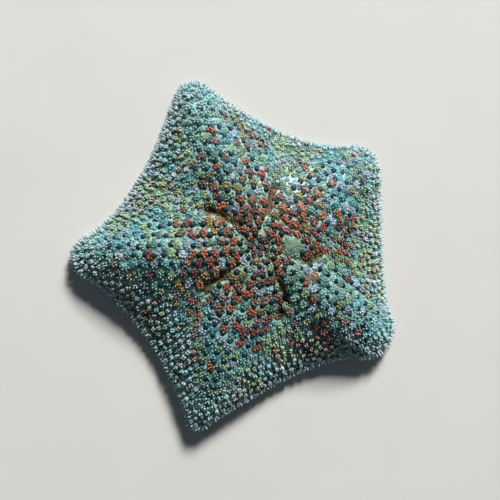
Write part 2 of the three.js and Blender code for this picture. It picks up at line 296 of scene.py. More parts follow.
def flat_place(points):
    """Where points of the back lie once it is unrolled flat, each along its own line from the centre."""
    steps = np.linspace(0, 1, 41)
    path = points[:, None, :] * steps[:, None]
    heights = top_height(path.reshape(-1, 2)).reshape(len(points), len(steps))
    run = length_of(points)[:, None] / (len(steps) - 1)
    length = np.hypot(run, np.diff(heights, axis=1)).sum(1)
    return points * (length / np.maximum(length_of(points), 1e-6))[:, None]


FLAT_SPAN = 84.0  # width of the unrolled back


def mark(mesh, name, values):
    """Gives each point of a mesh a named number or direction."""
    kind, field = ("FLOAT_VECTOR", "vector") if values.ndim == 2 else ("FLOAT", "value")
    made = mesh.attributes.new(name, kind, "POINT")
    made.data.foreach_set(field, values.astype(np.float32).ravel())


def add_mesh(name, points, corners, starts, uv, **values):
    """A shaded mesh object: points in millimetres from the disc's centre, the faces' corners and
    where each face starts, the map's place of each corner, and named values of each point."""
    mesh = bpy.data.meshes.new(name)
    mesh.vertices.add(len(points))
    mesh.vertices.foreach_set("co", ((points + CENTRE) * MM).astype(np.float32).ravel())
    mesh.loops.add(len(corners))
    mesh.loops.foreach_set("vertex_index", corners.astype(np.int32))
    mesh.polygons.add(len(starts))
    mesh.polygons.foreach_set("loop_start", starts.astype(np.int32))
    mesh.update(calc_edges=True)
    mesh.uv_layers.new(name="OFBake").uv.foreach_set("vector", uv.astype(np.float32).ravel())
    for key, value in values.items():
        mark(mesh, key, value)
    mesh.shade_smooth()
    piece = bpy.data.objects.new(name, mesh)
    bpy.context.scene.collection.objects.link(piece)
    return piece


# The faces from a ring to the next, as corners: on this ring or the next one, and how many points
# on. The next ring has as many points, twice as many or half as many.
EQUAL = [[(0, 0), (1, 0), (1, 1), (0, 1)]]
DOUBLE = [[(0, 0), (1, 0), (1, 1)], [(0, 0), (1, 1), (0, 1)], [(0, 1), (1, 1), (1, 2)]]
HALF = [[(0, 0), (1, 0), (0, 1)], [(0, 1), (1, 0), (1, 1)], [(0, 1), (1, 1), (0, 2)]]


def ring_faces(counts):
    """Corners and starts of the faces over a stack of rings, closed on one point at each end."""
    firsts = np.concatenate([[1], 1 + np.cumsum(counts)])

    def ring(k, i):
        return firsts[k] + i % counts[k]

    i = np.arange(counts[0])
    faces = [np.stack([0 * i, ring(0, i), ring(0, i + 1)], -1)]
    for k, (here, there) in enumerate(zip(counts, counts[1:])):
        i = np.arange(min(here, there))
        steps = (max(1, here // there), max(1, there // here))
        for face in EQUAL if here == there else DOUBLE if here < there else HALF:
            faces.append(np.stack([ring(k + far, steps[far] * i + on) for far, on in face], -1))
    i = np.arange(counts[-1])
    last = len(counts) - 1
    faces.append(np.stack([ring(last, i), 0 * i + firsts[-1], ring(last, i + 1)], -1))
    corners = np.concatenate([face.ravel() for face in faces])
    sizes = np.concatenate([np.full(len(face), face.shape[1]) for face in faces])
    return corners, np.concatenate([[0], np.cumsum(sizes)[:-1]])


SKIN_ROUND = 704  # points round the outer rings, a third of a millimetre apart
SKIN_RINGS = 104  # on each side, from the middle to the edge
EDGE_INSET = TOOTH_DEPTH + 0.42  # from the tips of the marginal spinelets in to the skin
MEAN_REACH = 30
LIP_FALLS = (0.35, 0.7, 1.0)  # how far down the thin edge each of its rings is
LIP_BULGE = 0.22


def ring_size(share):
    return SKIN_ROUND // (8 if share < 0.1 else 4 if share < 0.24 else 2 if share < 0.5 else 1)


shares = np.arange(1, SKIN_RINGS + 1) / (SKIN_RINGS + 1)
inset = 1 - EDGE_INSET / MEAN_REACH
edge_points, edge_outward = spaced_edge(SKIN_ROUND)
rings = []
for share in shares * inset:
    rings.append(on_skin(edge_points[:: SKIN_ROUND // ring_size(share)] * share)[0])
lip = rings[-1]
low = raised(lip[:, :2], ORAL["rim"])
for fall in LIP_FALLS:
    bulge = edge_outward * LIP_BULGE * math.sin(math.pi * fall)
    rings.append(mixed(lip, low, fall) + raised(bulge, 0))
lip_base = rings[-1]
top_rings = len(rings) - 2  # those of the back and the first one down the edge
cream_from = len(rings) + 2  # the mouth side is cream from its third ring on
for share in shares[-2::-1] * inset:
    ring = lip[:: SKIN_ROUND // ring_size(share), :2] * share
    rings.append(raised(ring, oral_height(ring)))
ring_counts = [len(ring) for ring in rings]
first = on_skin(np.array([[0.01, 0.0]]))[0]
last = np.array([[0.0, 0.0, MOUTH["depth"]]])
skin_points = np.concatenate([first, *rings, last])
skin_corners, skin_starts = ring_faces(ring_counts)
flat = np.zeros((len(skin_points), 2))
numbers = np.arange(len(skin_points))
upper = numbers < 1 + sum(ring_counts[:top_rings])
under_edge = numbers >= 1 + sum(ring_counts[:cream_from])
flat[upper] = flat_place(skin_points[upper, :2])
flat[~upper] = skin_points[~upper, :2] * 1.02
corners_each = np.diff(np.append(skin_starts, len(skin_corners)))
face_of_corner = np.repeat(np.arange(len(skin_starts)), corners_each)
on_back = np.minimum.reduceat(upper[skin_corners].astype(int), skin_starts)[face_of_corner] == 1
skin_uv = flat[skin_corners] / (2 * FLAT_SPAN) * np.where(on_back, 1, -1)[:, None] + [0.25, 0.25]
skin_uv[~on_back] += [0.5, 0.5]
skin_place = place_on(skin_points[:, :2])
petal_share = 1 - smoothstep(np.abs(skin_place["aside"]) - petal_half_width(skin_place), -0.6, 0.6)
between_tips = 1 - smoothstep(length_of(skin_points[:, :2]), 24, 30)
skin = add_mesh(
    "skin", skin_points, skin_corners, skin_starts, skin_uv,
    petal=np.where(upper, petal_share, 0), fold=np.where(upper, crease_at(skin_place), 0),
    shadow=np.where(upper, margin_share(skin_points[:, :2]) * between_tips, 0),
    oral=under_edge.astype(float),
)


def node(tree, kind, inputs=(), **settings):
    """A new node: inputs are pairs of a socket's name or number and a value, or the socket it reads."""
    made = tree.nodes.new(kind)
    for setting, value in settings.items():
        setattr(made, setting, value)
    for socket, value in inputs:
        if isinstance(value, bpy.types.NodeSocket):
            tree.links.new(value, made.inputs[socket])
        else:
            made.inputs[socket].default_value = value
    return made


def paint(code):
    """A colour from its six-digit code, in the linear values that materials take."""
    levels = [int(code[i : i + 2], 16) / 255 for i in (1, 3, 5)]
    return (*[v / 12.92 if v < 0.04045 else ((v + 0.055) / 1.055) ** 2.4 for v in levels], 1)


def mix(tree, share, a, b, blend="MIX"):
    """The colour a, turned to b by a share. Either may be a code."""
    a, b = [paint(colour) if isinstance(colour, str) else colour for colour in (a, b)]
    inputs = [("Factor", share), (6, a), (7, b)]
    return node(tree, "ShaderNodeMix", inputs, data_type="RGBA", blend_type=blend).outputs[2]


def maths(tree, operation, *values):
    made = node(tree, "ShaderNodeMath", enumerate(values), operation=operation)
    return made.outputs[0]


def times(tree, a, b):
    return maths(tree, "MULTIPLY", a, b)


def plus(tree, a, b):
    return maths(tree, "ADD", a, b)


def vector_maths(tree, operation, a, b, output="Vector"):
    return node(tree, "ShaderNodeVectorMath", [(0, a), (1, b)], operation=operation).outputs[output]


def from_centre(tree, place):
    """How far a place is from the disc's centre, in metres."""
    return vector_maths(tree, "DISTANCE", place, tuple(CENTRE * MM), "Value")


def own_place(tree):
    return node(tree, "ShaderNodeTexCoord").outputs["Object"]


def ramp(tree, value, low, high, from_value=0.0, to_value=1.0):
    """A value turned smoothly from one number to another between a low and a high."""
    inputs = [("Value", value), ("From Min", low), ("From Max", high)]
    inputs += [("To Min", from_value), ("To Max", to_value)]
    made = node(tree, "ShaderNodeMapRange", inputs, interpolation_type="SMOOTHSTEP")
    return made.outputs["Result"]


def streaked(tree, share, colour, grain, dark):
    """A colour darkened by a share where a grain is low."""
    return mix(tree, share, colour, mix(tree, grain, dark, "#FFFFFF"), "MULTIPLY")


def noise(tree, place, scale, detail=2.0, roughness=0.5):
    inputs = [("Vector", place), ("Scale", scale), ("Detail", detail), ("Roughness", roughness)]
    return node(tree, "ShaderNodeTexNoise", inputs).outputs["Fac"]


def attribute(tree, name, output="Fac"):
    return node(tree, "ShaderNodeAttribute", attribute_name=name).outputs[output]


def new_group(name, inputs, outputs):
    """An empty shader group with its inputs' and outputs' nodes."""
    group = bpy.data.node_groups.new(name, "ShaderNodeTree")
    for label, kind in inputs:
        group.interface.new_socket(label, in_out="INPUT", socket_type=kind)
    for label, kind in outputs:
        group.interface.new_socket(label, in_out="OUTPUT", socket_type=kind)
    return group, node(group, "NodeGroupInput").outputs, node(group, "NodeGroupOutput").inputs


# Colours of the plates and of the granules on them, from dark to light. Every plate takes one by
# chance: reds round the middle, some dusky rose beside them, a few olive and mustard, and teal to
# aqua for the rest, with mint green in patches, icy blue here and there and pale foam at the tips.
PAINTS = dict(
    teal=("#1C7580", "#44A9B2"), aqua=("#5AB7C0", "#9CE1E2"), ice=("#8CACBE", "#DCE8F2"),
    fern=("#4A8260", "#8EBC92"), leaf=("#8AB482", "#C8DCA4"), foam=("#5CB8BA", "#B8E9E6"),
    olive=("#646A1C", "#A8A444"), mustard=("#8E7628", "#CCB656"), rose=("#7E5854", "#B48880"),
    brick=("#8E2816", "#C24C34"), amber=("#944A12", "#CC7A36"), maroon=("#521010", "#8C302A"),
    night=("#0C3834", "#8A2B4A"),
)
GREEN_BANDS = dict(across=(-0.77, 0.64, 0), aside=0.013)  # two bands where green plates gather
EYE_OF_BACK = 0.0019  # radius of the dark middle


def pigment_group():
    """The two colours of each plate, from its place, its seed, and its shares of petal and of reds."""
    inputs = [("Place", "NodeSocketVector")]
    inputs += [(name, "NodeSocketFloat") for name in ("Seed", "Petal", "Reds")]
    outputs = [("Plate", "NodeSocketColor"), ("Bead", "NodeSocketColor")]
    group, given, made = new_group("starfish_pigment", inputs, outputs)
    place = vector_maths(group, "MULTIPLY", given["Place"], (1, 1, 0))
    away = from_centre(group, place)
    patchy, broad = noise(group, place, 190), noise(group, place, 60)
    ring = plus(group, away, maths(group, "MULTIPLY_ADD", broad, 0.012, -0.006))

    def drawn(number):
        w = times(group, given["Seed"], 37.1 * number)
        return node(group, "ShaderNodeTexWhiteNoise", [("W", w)], noise_dimensions="1D").outputs["Value"]

    def picked(number, share, clumping):
        drift = maths(group, "MULTIPLY_ADD", patchy, clumping, -clumping / 2)
        return maths(group, "LESS_THAN", plus(group, drawn(number), drift), share)

    reds = ramp(group, ring, 0.007, 0.012, 0.84, 0.42)
    for fall in ((0.012, 0.019, 1.0, 0.16), (0.018, 0.024, 1.0, 0.15)):
        reds = times(group, reds, ramp(group, ring, *fall))
    reds = times(group, times(group, reds, given["Reds"]), ramp(group, given["Petal"], 0, 1, 0.55, 1.0))
    extra = maths(group, "MAXIMUM", maths(group, "SUBTRACT", given["Reds"], 1), 0)
    red = picked(1, maths(group, "MULTIPLY_ADD", extra, 1.3, reds), 0.7)
    rose = picked(2, ramp(group, ring, 0.014, 0.026, 0.17, 0.05), 0.5)
    olive = picked(3, ramp(group, ring, 0.012, 0.022, 0.065, 0.03), 0.15)
    mustard = picked(4, ramp(group, ring, 0.012, 0.022, 0.045, 0.022), 0.1)
    tone = plus(group, times(group, drawn(5), 0.7), times(group, broad, 0.4))
    tone = plus(group, tone, ramp(group, ring, 0.01, 0.024, 0, 0.3))
    tone = plus(group, tone, ramp(group, ring, 0.021, 0.032, 0, 0.35))
    light = ramp(group, tone, 0.2, 0.85)
    clump = noise(group, place, 420)
    mottle = ramp(group, noise(group, place, 330, 2), 0.38, 0.6, 0.72, 1.0)
    own_light = times(group, mottle, ramp(group, drawn(10), 0, 1, 0.66, 1.12))
    toward = vector_maths(group, "SUBTRACT", place, tuple(CENTRE * MM))
    across = vector_maths(group, "DOT_PRODUCT", toward, GREEN_BANDS["across"], "Value")
    off_band = maths(group, "SUBTRACT", maths(group, "ABSOLUTE", across), GREEN_BANDS["aside"])
    gathered = ramp(group, maths(group, "ABSOLUTE", off_band), 0.003, 0.02, 1.3, 0.55)
    region = ramp(group, noise(group, place, 150, 1), 0.42, 0.58, 0, 0.75)
    region = times(group, region, ramp(group, given["Petal"], 0, 1, 1.2, 0.55))
    inward = ramp(group, ring, 0.01, 0.02, 0.5, 0.0)
    green = maths(group, "MAXIMUM", times(group, region, gathered), inward)
    leafy = picked(8, times(group, ramp(group, patchy, 0.4, 0.62, 0.05, 0.2), gathered), 0.2)
    outward = ramp(group, ring, 0.022, 0.032, 0, 0.15)
    icy = picked(9, plus(group, ramp(group, clump, 0.44, 0.62, 0.02, 0.6), outward), 0.2)
    at_tip = ramp(group, away, 0.025, 0.032, 0, 0.7)
    amber = ramp(group, drawn(6), 0.1, 0.75)
    maroon = maths(group, "LESS_THAN", drawn(7), plus(group, extra, 0.22))
    inner = maths(group, "LESS_THAN", away, EYE_OF_BACK)
    for pick, label in enumerate(("Plate", "Bead")):
        shades = {name: pair[pick] for name, pair in PAINTS.items()}
        colour = mix(group, light, shades["teal"], shades["aqua"])
        colour = mix(group, green, colour, mix(group, light, shades["fern"], shades["leaf"]))
        reddish = mix(group, amber, shades["brick"], shades["amber"])
        reddish = mix(group, maroon, reddish, shades["maroon"])
        for share, above in (
            (leafy, shades["leaf"]), (icy, shades["ice"]), (rose, shades["rose"]), (red, reddish),
            (olive, shades["olive"]), (mustard, shades["mustard"]), (at_tip, shades["foam"]),
            (inner, shades["night"]),
        ):
            colour = mix(group, share, colour, above)
        group.links.new(mix(group, 1.0, colour, own_light, "MULTIPLY"), made[label])
    return group


PIGMENT = pigment_group()


def pigment(tree, *own):
    return node(tree, "ShaderNodeGroup", enumerate(own), node_tree=PIGMENT).outputs


def new_material(name, roughness, coat, **sockets):
    """A material with one Principled shader, wet by a clear coat of its own roughness."""
    material = bpy.data.materials.new(name)
    material.use_nodes = True
    shader = material.node_tree.nodes["Principled BSDF"]
    values = {"Roughness": roughness, "Coat Weight": coat, "Coat Roughness": 0.27, **sockets}
    for socket, value in values.items():
        shader.inputs[socket].default_value = value
    return material, material.node_tree


def finished(material, colour, height=None, strength=0.0, distance=0.0):
    """A material with its colour, and with its surface raised by a height over some millimetres."""
    tree = material.node_tree
    shader = tree.nodes["Principled BSDF"]
    tree.links.new(colour, shader.inputs["Base Color"])
    if height is not None:
        inputs = [("Height", height), ("Strength", strength), ("Distance", distance * MM)]
        tree.links.new(node(tree, "ShaderNodeBump", inputs).outputs["Normal"], shader.inputs["Normal"])
    return material


def tone_group():
    """The skin's own colour: warm olive round the middle with pale green patches, teal and mint
    further out, aqua at the tips, and blue to green between the petals, finely freckled."""
    inputs = [("Place", "NodeSocketVector"), ("Petal", "NodeSocketFloat")]
    group, given, made = new_group("starfish_skin_tone", inputs, [("Tone", "NodeSocketColor")])
    place = given["Place"]
    away = from_centre(group, place)
    inner = ramp(group, away, 0.009, 0.018, 1, 0)
    mottle, broad = noise(group, place, 380), noise(group, place, 150, 1)
    outer = mix(group, ramp(group, broad, 0.42, 0.6, 0, 0.7), "#44ACBE", "#82BA88")
    outer = mix(group, ramp(group, away, 0.025, 0.032, 0, 0.6), outer, "#6CC2C0")
    tinted = mix(group, inner, outer, mix(group, broad, "#2C6250", "#6C7430"))
    patch = mix(group, inner, "#ACDDD8", "#BCD8A2")
    pale = mix(group, ramp(group, mottle, 0.44, 0.64), tinted, patch)
    aside = mix(group, ramp(group, mottle, 0.38, 0.6), "#256C86", "#88C6A6")
    tone = mix(group, given["Petal"], aside, pale)
    for scale, code in ((1700, "#123A3C"), (1100, "#DCEDE0")):
        freckle = ramp(group, noise(group, place, scale, 1), 0.55, 0.64, 0, 0.5)
        tone = mix(group, freckle, tone, code)
    group.links.new(tone, made["Tone"])
    return group


SKIN_TONE = tone_group()


def skin_tone(tree, place, petal):
    return node(tree, "ShaderNodeGroup", [(0, place), (1, petal)], node_tree=SKIN_TONE).outputs["Tone"]


def skin_material():
    """The skin's tone, stretched paler round each gill with painted shade right beside its foot, painted
    shade near the edge, pale mint on the shoulders of the creases, partly its own colour and partly
    painted highlight, olive down in the creases with painted shade near black at their deepest, and
    cream on the mouth side."""
    material, tree = new_material("wet_skin", 0.6, 0.1)
    place = own_place(tree)
    petal, fold, oral, pit = [attribute(tree, name) for name in ("petal", "fold", "oral", "pit")]
    fine, mottle, broad = noise(tree, place, 1500, 3), noise(tree, place, 350), noise(tree, place, 120)
    colour = skin_tone(tree, place, petal)
    ring = times(tree, petal, ramp(tree, pit, 1.3, 1.7, 0.45, 0))
    colour = mix(tree, ring, colour, "#C4E6E4")
    # Painted shade: dark skin right beside each gill's foot.
    colour = mix(tree, ramp(tree, pit, 0.9, 1.3, 0.9, 0), colour, "#0C3440")
    colour = mix(tree, times(tree, attribute(tree, "shadow"), 0.75), colour, "#1C4F57")
    # Pale mint on the shoulders of the creases: partly the skin's own pale colour, partly painted
    # highlight.
    beside = times(tree, ramp(tree, fold, 0.02, 0.1), ramp(tree, mottle, 0.4, 0.55, 0.2, 0.9))
    colour = mix(tree, beside, colour, "#CFE8CF")
    spotted = maths(tree, "MULTIPLY_ADD", mottle, 0.5, times(tree, fold, 1.5))
    in_fold = mix(tree, ramp(tree, broad, 0.42, 0.6), "#6A7018", "#4E3018")
    colour = mix(tree, ramp(tree, spotted, 0.42, 0.6), colour, in_fold)
    # Painted shade: near black where the creases are deepest, over their olive and brown.
    colour = mix(tree, ramp(tree, spotted, 0.8, 1.1), colour, "#1A130E")
    colour = mix(tree, oral, colour, mix(tree, mottle, "#B9A47C", "#D9CBA8"))
    return finished(material, streaked(tree, 0.25, colour, fine, "#5A5A5A"), fine, 0.5, 0.15)


def settle(piece, material):
    """Gives a piece its finish and fixes it to the body."""
    piece.data.materials.append(material)
    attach(piece, "root")


settle(skin, skin_material())
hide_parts("disc", *[f"arm_{k + 1}" for k in range(5)])

# ---- Plates of the back ----
# Under the skin of the back lie hundreds of chalky plates that show as low cushions. Those of the
# petals are beans with their hollow side towards the middle of the back, in rows along the arm.
# Those between the petals and near the edge are smaller, round and scattered.

ROWS = dict(aside=1.95, near=2.1, far=1.75, start=3.9, end=42)
PETAL_ROOM = dict(near=2.05, far=1.72)
SCATTER = dict(inner=1.54, outer=1.16, centre=1.3)
CLOSER = 0.88  # how much of their room the scattered plates insist on at first
CENTRE_REACH = 3.7
EDGE_SHARE = 0.962  # how far out the plates of the back reach
BEYOND = 38  # further out than any arm
ROUNDS = 14  # of pushing the plates apart
SEED = 21
chance = np.random.default_rng(SEED)


def folded(points):
    """Where points of the flat, unrolled back lie on the back seen from above."""
    out = points.copy()
    for _ in range(5):
        found = flat_place(out)
        ratio = length_of(points) / np.maximum(length_of(found), 1e-6)
        out = out * ratio[:, None]
        limit = 0.995 * edge_distance(bearing_of(out))
        out *= np.minimum(1, limit / np.maximum(length_of(out), 1e-6))[:, None]
    return out


def petal_rows(bearing):
    """Staggered rows of points along an arm, closer together towards its tip."""
    across = on_circle(bearing + 90, 1)
    points = []
    for row in range(-4, 5):
        along = ROWS["start"] + 0.5 * ROWS["near"] * (row % 2)
        while along < ROWS["end"]:
            points.append(along * on_circle(bearing, 1) + row * ROWS["aside"] * across)
            along += mixed(ROWS["near"], ROWS["far"], smoothstep(along, 8, 30))
    return np.array(points)


def room_for(points, petal):
    """Distance that a plate keeps from its neighbours."""
    radius = length_of(points)
    share = radius / edge_distance(bearing_of(points))
    rows = mixed(PETAL_ROOM["near"], PETAL_ROOM["far"], smoothstep(radius, 9, 28))
    scatter = mixed(SCATTER["inner"], SCATTER["outer"], smoothstep(share, 0.4, 0.95))
    return mixed(SCATTER["centre"], np.where(petal > 0.5, rows, scatter), smoothstep(radius, 1.2, 5))


def thrown(count):
    """Random points over a circle that holds the whole body."""
    return on_circle(chance.uniform(0, 360, count), BEYOND * np.sqrt(chance.uniform(0, 1, count)))


def anywhere(count):
    """Random places on the back."""
    points = thrown(count)
    return points[length_of(points) < EDGE_SHARE * edge_distance(bearing_of(points))]


def keeping_clear(points, solids, rooms, taken):
    """Those of some places whose solid points keep their room from the ones taken before them."""
    kept = []
    for point, solid, room in zip(points, solids, rooms):
        if not len(taken) or np.min(((taken - solid) ** 2).sum(1)) > room * room:
            taken = np.vstack([taken, solid])
            kept.append(point)
    return np.array(kept)


def scattered(points, petal, taken):
    rooms = room_for(points, np.full(len(points), petal)) * CLOSER
    return keeping_clear(points, solid_place(points), rooms, solid_place(taken))


def in_petal(points):
    place = place_on(points)
    inside = np.abs(place["aside"]) < petal_half_width(place) - 0.1
    return inside & (place["along"] < place["reach"] - 4.6)


def creased(points):
    return crease_at(place_on(points)) > 0.3


def plate_places():
    """Middles of the main plates seen from above, and whether each is a petal's."""
    middle = anywhere(40000)
    middle = scattered(middle[length_of(middle) < CENTRE_REACH], 1.0, np.zeros((0, 2)))
    chosen = [np.column_stack([middle, np.ones(len(middle))])]
    for k, arm in enumerate(ARMS):
        points = folded(petal_rows(arm["angle"]))
        kept = (place_on(points)["arm"] == k) & in_petal(points) & ~creased(points)
        kept &= length_of(points) > CENTRE_REACH
        chosen.append(np.column_stack([points[kept], np.ones(kept.sum())]))
    between = anywhere(30000)
    between = between[~in_petal(between) & ~creased(between)]
    between = scattered(between, 0.0, np.concatenate(chosen)[:, :2])
    chosen.append(np.column_stack([between, np.zeros(len(between))]))
    return np.concatenate(chosen)


def spread_out(points, petal):
    """Pushes plates apart over the back until they keep their distance, with a little disorder."""
    points = points + chance.normal(0, 0.14, points.shape)
    wanted = room_for(points, petal)
    for _ in range(ROUNDS):
        solid = solid_place(points)
        gap = solid[:, None, :] - solid[None, :, :]
        distance = length_of(gap) + np.eye(len(points)) * 99
        close = np.clip(1 - distance / ((wanted[:, None] + wanted[None, :]) / 2), 0, None)
        points = points + (gap[..., :2] / distance[..., None] * close[..., None]).sum(1) * 0.5
        limit = EDGE_SHARE * edge_distance(bearing_of(points))
        points *= np.minimum(1, limit / length_of(points))[:, None]
    return points


SIEVE = dict(angle=8.5, from_centre=6.3, radius=1.85, room=1.9)  # the sieve plate keeps its own room
sieve_at = on_circle(SIEVE["angle"], SIEVE["from_centre"])
found = plate_places()
petal = found[:, 2]
plate_at = spread_out(found[:, :2], petal)
free = (length_of(plate_at - sieve_at) > SIEVE["room"]) & ~creased(plate_at)
plate_at, petal = plate_at[free], petal[free]


def axes_on(points, turn):
    """Where plates stand on the skin, and their directions: across, outward from the centre turned
    by an angle, and up out of the skin."""
    base, up = on_skin(points)
    outward = raised(points, 0)
    outward = unit(outward - up * (outward * up).sum(1)[:, None])
    across = np.cross(outward, up)
    c, s = np.cos(turn)[:, None], np.sin(turn)[:, None]
    return base, np.stack([across * c + outward * s, outward * c - across * s, up], 1)


def root_of(points):
    """Where plates stand on the floor, in metres, which their colours start from."""
    return (raised(points[:, :2], 0) + CENTRE) * MM


def set_plates(points, room, long, wide, bend, high, swing, **values):
    """The facts of some plates: place, directions, size in millimetres and colour's seed."""
    count = len(points)
    base, axes = axes_on(points, chance.normal(0, 1, count) * swing)
    length = long * room * chance.uniform(0.76, 1.16, count)
    made = dict(at=points, room=room, base=base, axes=axes, length=length, seed=chance.random(count))
    made["width"] = wide * room * chance.uniform(0.82, 1.14, count)
    made["bend"] = bend * length * chance.uniform(0.2, 1.5, count)
    made["high"] = high * chance.uniform(0.9, 1.1, count)
    return made | dict(root=root_of(points), arm=place_on(points)["arm"]) | values


def turned_faces(sides, rings):
    """The faces of a closed turned shape, from its tip down, with its bottom last."""
    faces = [[0, 1 + i, 1 + (i + 1) % sides] for i in range(sides)]
    for k in range(rings - 1):
        a, b = 1 + k * sides, 1 + (k + 1) * sides
        faces += [[a + i, b + i, b + (i + 1) % sides, a + (i + 1) % sides] for i in range(sides)]
    faces.append([1 + (rings - 1) * sides + i for i in range(sides)][::-1])
    return faces


def turned(sides, profile):
    """A closed shape turned about its axis, from its tip down: shares of radius and of height. Gives
    the points' places across and heights, their layout on the map, and the faces."""
    ring = heading(np.arange(sides) / sides * 2 * math.pi)
    rings = len(profile) - 1
    across = np.concatenate([[[0, 0]], *[ring * out for out, _ in profile[1:]]])
    layout = np.concatenate([[[0, 0]], *[ring * (k + 1) / rings for k in range(rings)]])
    rise = np.repeat([height for _, height in profile], [1] + [sides] * rings)
    return across, rise, layout, turned_faces(sides, rings)


def copies(faces, count, points_each):
    """Corners and starts of the faces of many copies."""
    corners = np.concatenate(faces)
    starts = np.concatenate([[0], np.cumsum([len(face) for face in faces])[:-1]])
    all_corners = corners[None, :] + points_each * np.arange(count)[:, None]
    all_starts = starts[None, :] + len(corners) * np.arange(count)[:, None]
    return all_corners.ravel(), all_starts.ravel()


def patches(faces, layout, centres, size):
    """Map places of many copies: each a small patch at its root's place on the map, with its bottom
    face as a smaller patch beside it."""
    corners = np.concatenate(faces)
    patch = layout[corners] * size / 2
    bottom = len(faces[-1])
    patch[-bottom:] = patch[-bottom:] * 0.3 + [size * 0.8, 0]
    return (centres[:, None, :] + patch[None, :, :]).reshape(-1, 2)


def flat_map(points):
    """Places on the map of points that already lie flat."""
    return points / FLAT_SPAN + 0.5


def back_map(points):
    return flat_map(flat_place(points))


def on_plates(plates, which, across, out, height):
    """Points given in plates' own measures, set in place on the body. A plate is a bean whose ends
    turn back towards the centre."""
    length, width, bend = [plates[key][which] for key in ("length", "width", "bend")]
    own = np.stack([across * length, out * width - bend * across**2 + bend * 0.35, height], -1)
    return plates["base"][which] + np.einsum("ni,nij->nj", own, plates["axes"][which])


def add_copies(name, shape, points, centres, patch, **values):
    """A joined mesh of copies of a turned shape, with a patch of the map and named values for each."""
    across, rise, layout, faces = shape
    count = len(centres)
    values["shade"] = chance.random(count)
    for key, value in values.items():
        each = np.broadcast_to(value, (count, *np.shape(value)[1:]))
        values[key] = np.repeat(each, len(across), axis=0)
    return add_mesh(
        name, points, *copies(faces, count, len(across)), patches(faces, layout, centres, patch),
        lift=np.tile(np.clip(rise, 0, 1), count), **values,
    )


PIGMENTED = ("root", "seed", "petal", "reds")  # what a plate's colour comes from


def plates_mesh(name, plates, shape, patch):
    across, rise = shape[:2]
    count = len(plates["at"])
    which = np.repeat(np.arange(count), len(across))
    out = np.tile(across, (count, 1))
    height = np.tile(rise, count) * plates["high"][which] - 0.02
    points = on_plates(plates, which, out[:, 0], out[:, 1], height)
    own = {key: plates[key] for key in PIGMENTED}
    return add_copies(name, shape, points, back_map(plates["at"]), patch, **own)


def coat_material(name, output, foot_tone, tip, tip_share, roughness):
    """Chalky plates or granules under a thin wet skin: the plate's own colour, which runs out into
    the skin's tone at the foot and is paler at the top, partly whitish chalk and partly painted
    highlight, palest by the edge, with fine grain. A little light passes."""
    glow = {"Subsurface Weight": 0.6, "Subsurface Scale": 0.001, "Subsurface Radius": (1, 0.9, 0.8)}
    material, tree = new_material(name, roughness, 0.15, **glow)
    lift = attribute(tree, "lift")
    seed, petal, reds = [attribute(tree, key) for key in ("seed", "petal", "reds")]
    place = own_place(tree)
    grain = noise(tree, place, 3200, 2, 0.6)
    colours = pigment(tree, attribute(tree, "root", "Vector"), seed, petal, reds)
    at_foot = ramp(tree, lift, 0.1, 0.5, foot_tone, 0)
    colour = mix(tree, at_foot, colours[output], skin_tone(tree, place, petal))
    # Paler at the top: partly the whitish chalk of the tips, partly painted highlight.
    colour = mix(tree, ramp(tree, lift, 0.6, 1.0, 0, tip_share), colour, tip)
    hoar = times(tree, attribute(tree, "margin"), ramp(tree, lift, 0.2, 0.8, 0, 0.45))
    colour = mix(tree, hoar, colour, "#CCE4E2")
    colour = streaked(tree, 0.22, colour, attribute(tree, "shade"), "#7A7A7A")
    return finished(material, streaked(tree, 0.25, colour, grain, "#6E6E6E"), grain, 0.4, 0.06)


PLATE_PROFILE = [
    (0, 1.0), (0.35, 0.97), (0.62, 0.86), (0.82, 0.66), (1.0, 0.38), (1.18, 0.12), (1.3, -0.15),
]
SHAPES = ((0.5, 0.48), (0.45, 0.38), (0.06, 0.3))  # length, width and bend: round plates, petals'
kind = [mixed(of_round, of_petal, petal) for of_round, of_petal in SHAPES]
high, swing = mixed(0.2, 0.24, petal), mixed(0.8, 0.6, petal)

# Where maroon plates stand in lines, from the disc's centre: the border of the upper arm's petal,
# two folds beside the lower right arm, and a small V beside the right arm.
MAROON_LINES = [
    ((-7.1, 25.6), (2.2, 20.2)), ((9.8, -13.8), (15.5, -18.1)), ((6.6, -17.1), (10.9, -19.1)),
    ((15.0, 6.0), (16.6, 0.8)), ((16.6, 0.8), (18.2, 5.4)),
]


def bordering(points):
    """How near points are to the lines of maroon plates."""
    near = np.zeros(len(points))
    for start, end in np.array(MAROON_LINES):
        way = end - start
        share = np.clip((points - start) @ way / (way @ way), 0, 1)
        away = length_of(points - start - share[:, None] * way)
        near = np.maximum(near, np.exp(-((away / 0.85) ** 2)))
    return near


plates = set_plates(
    plate_at, room_for(plate_at, petal), *kind, high, swing,
    petal=petal, reds=1 + 0.9 * bordering(plate_at),
)
plate_material = coat_material("plate_calcite", "Plate", 0.6, "#CFE3D8", 0.08, 0.55)
back_piece = plates_mesh("back_plates", plates, turned(14, PLATE_PROFILE), 0.009)
settle(back_piece, plate_material)

# ---- Gills ----
# Papulae, the soft finger-like gills, stand singly in the hollow of each petal's plate. They are
# thin skin full of water, swollen round, almost black teal and moist.

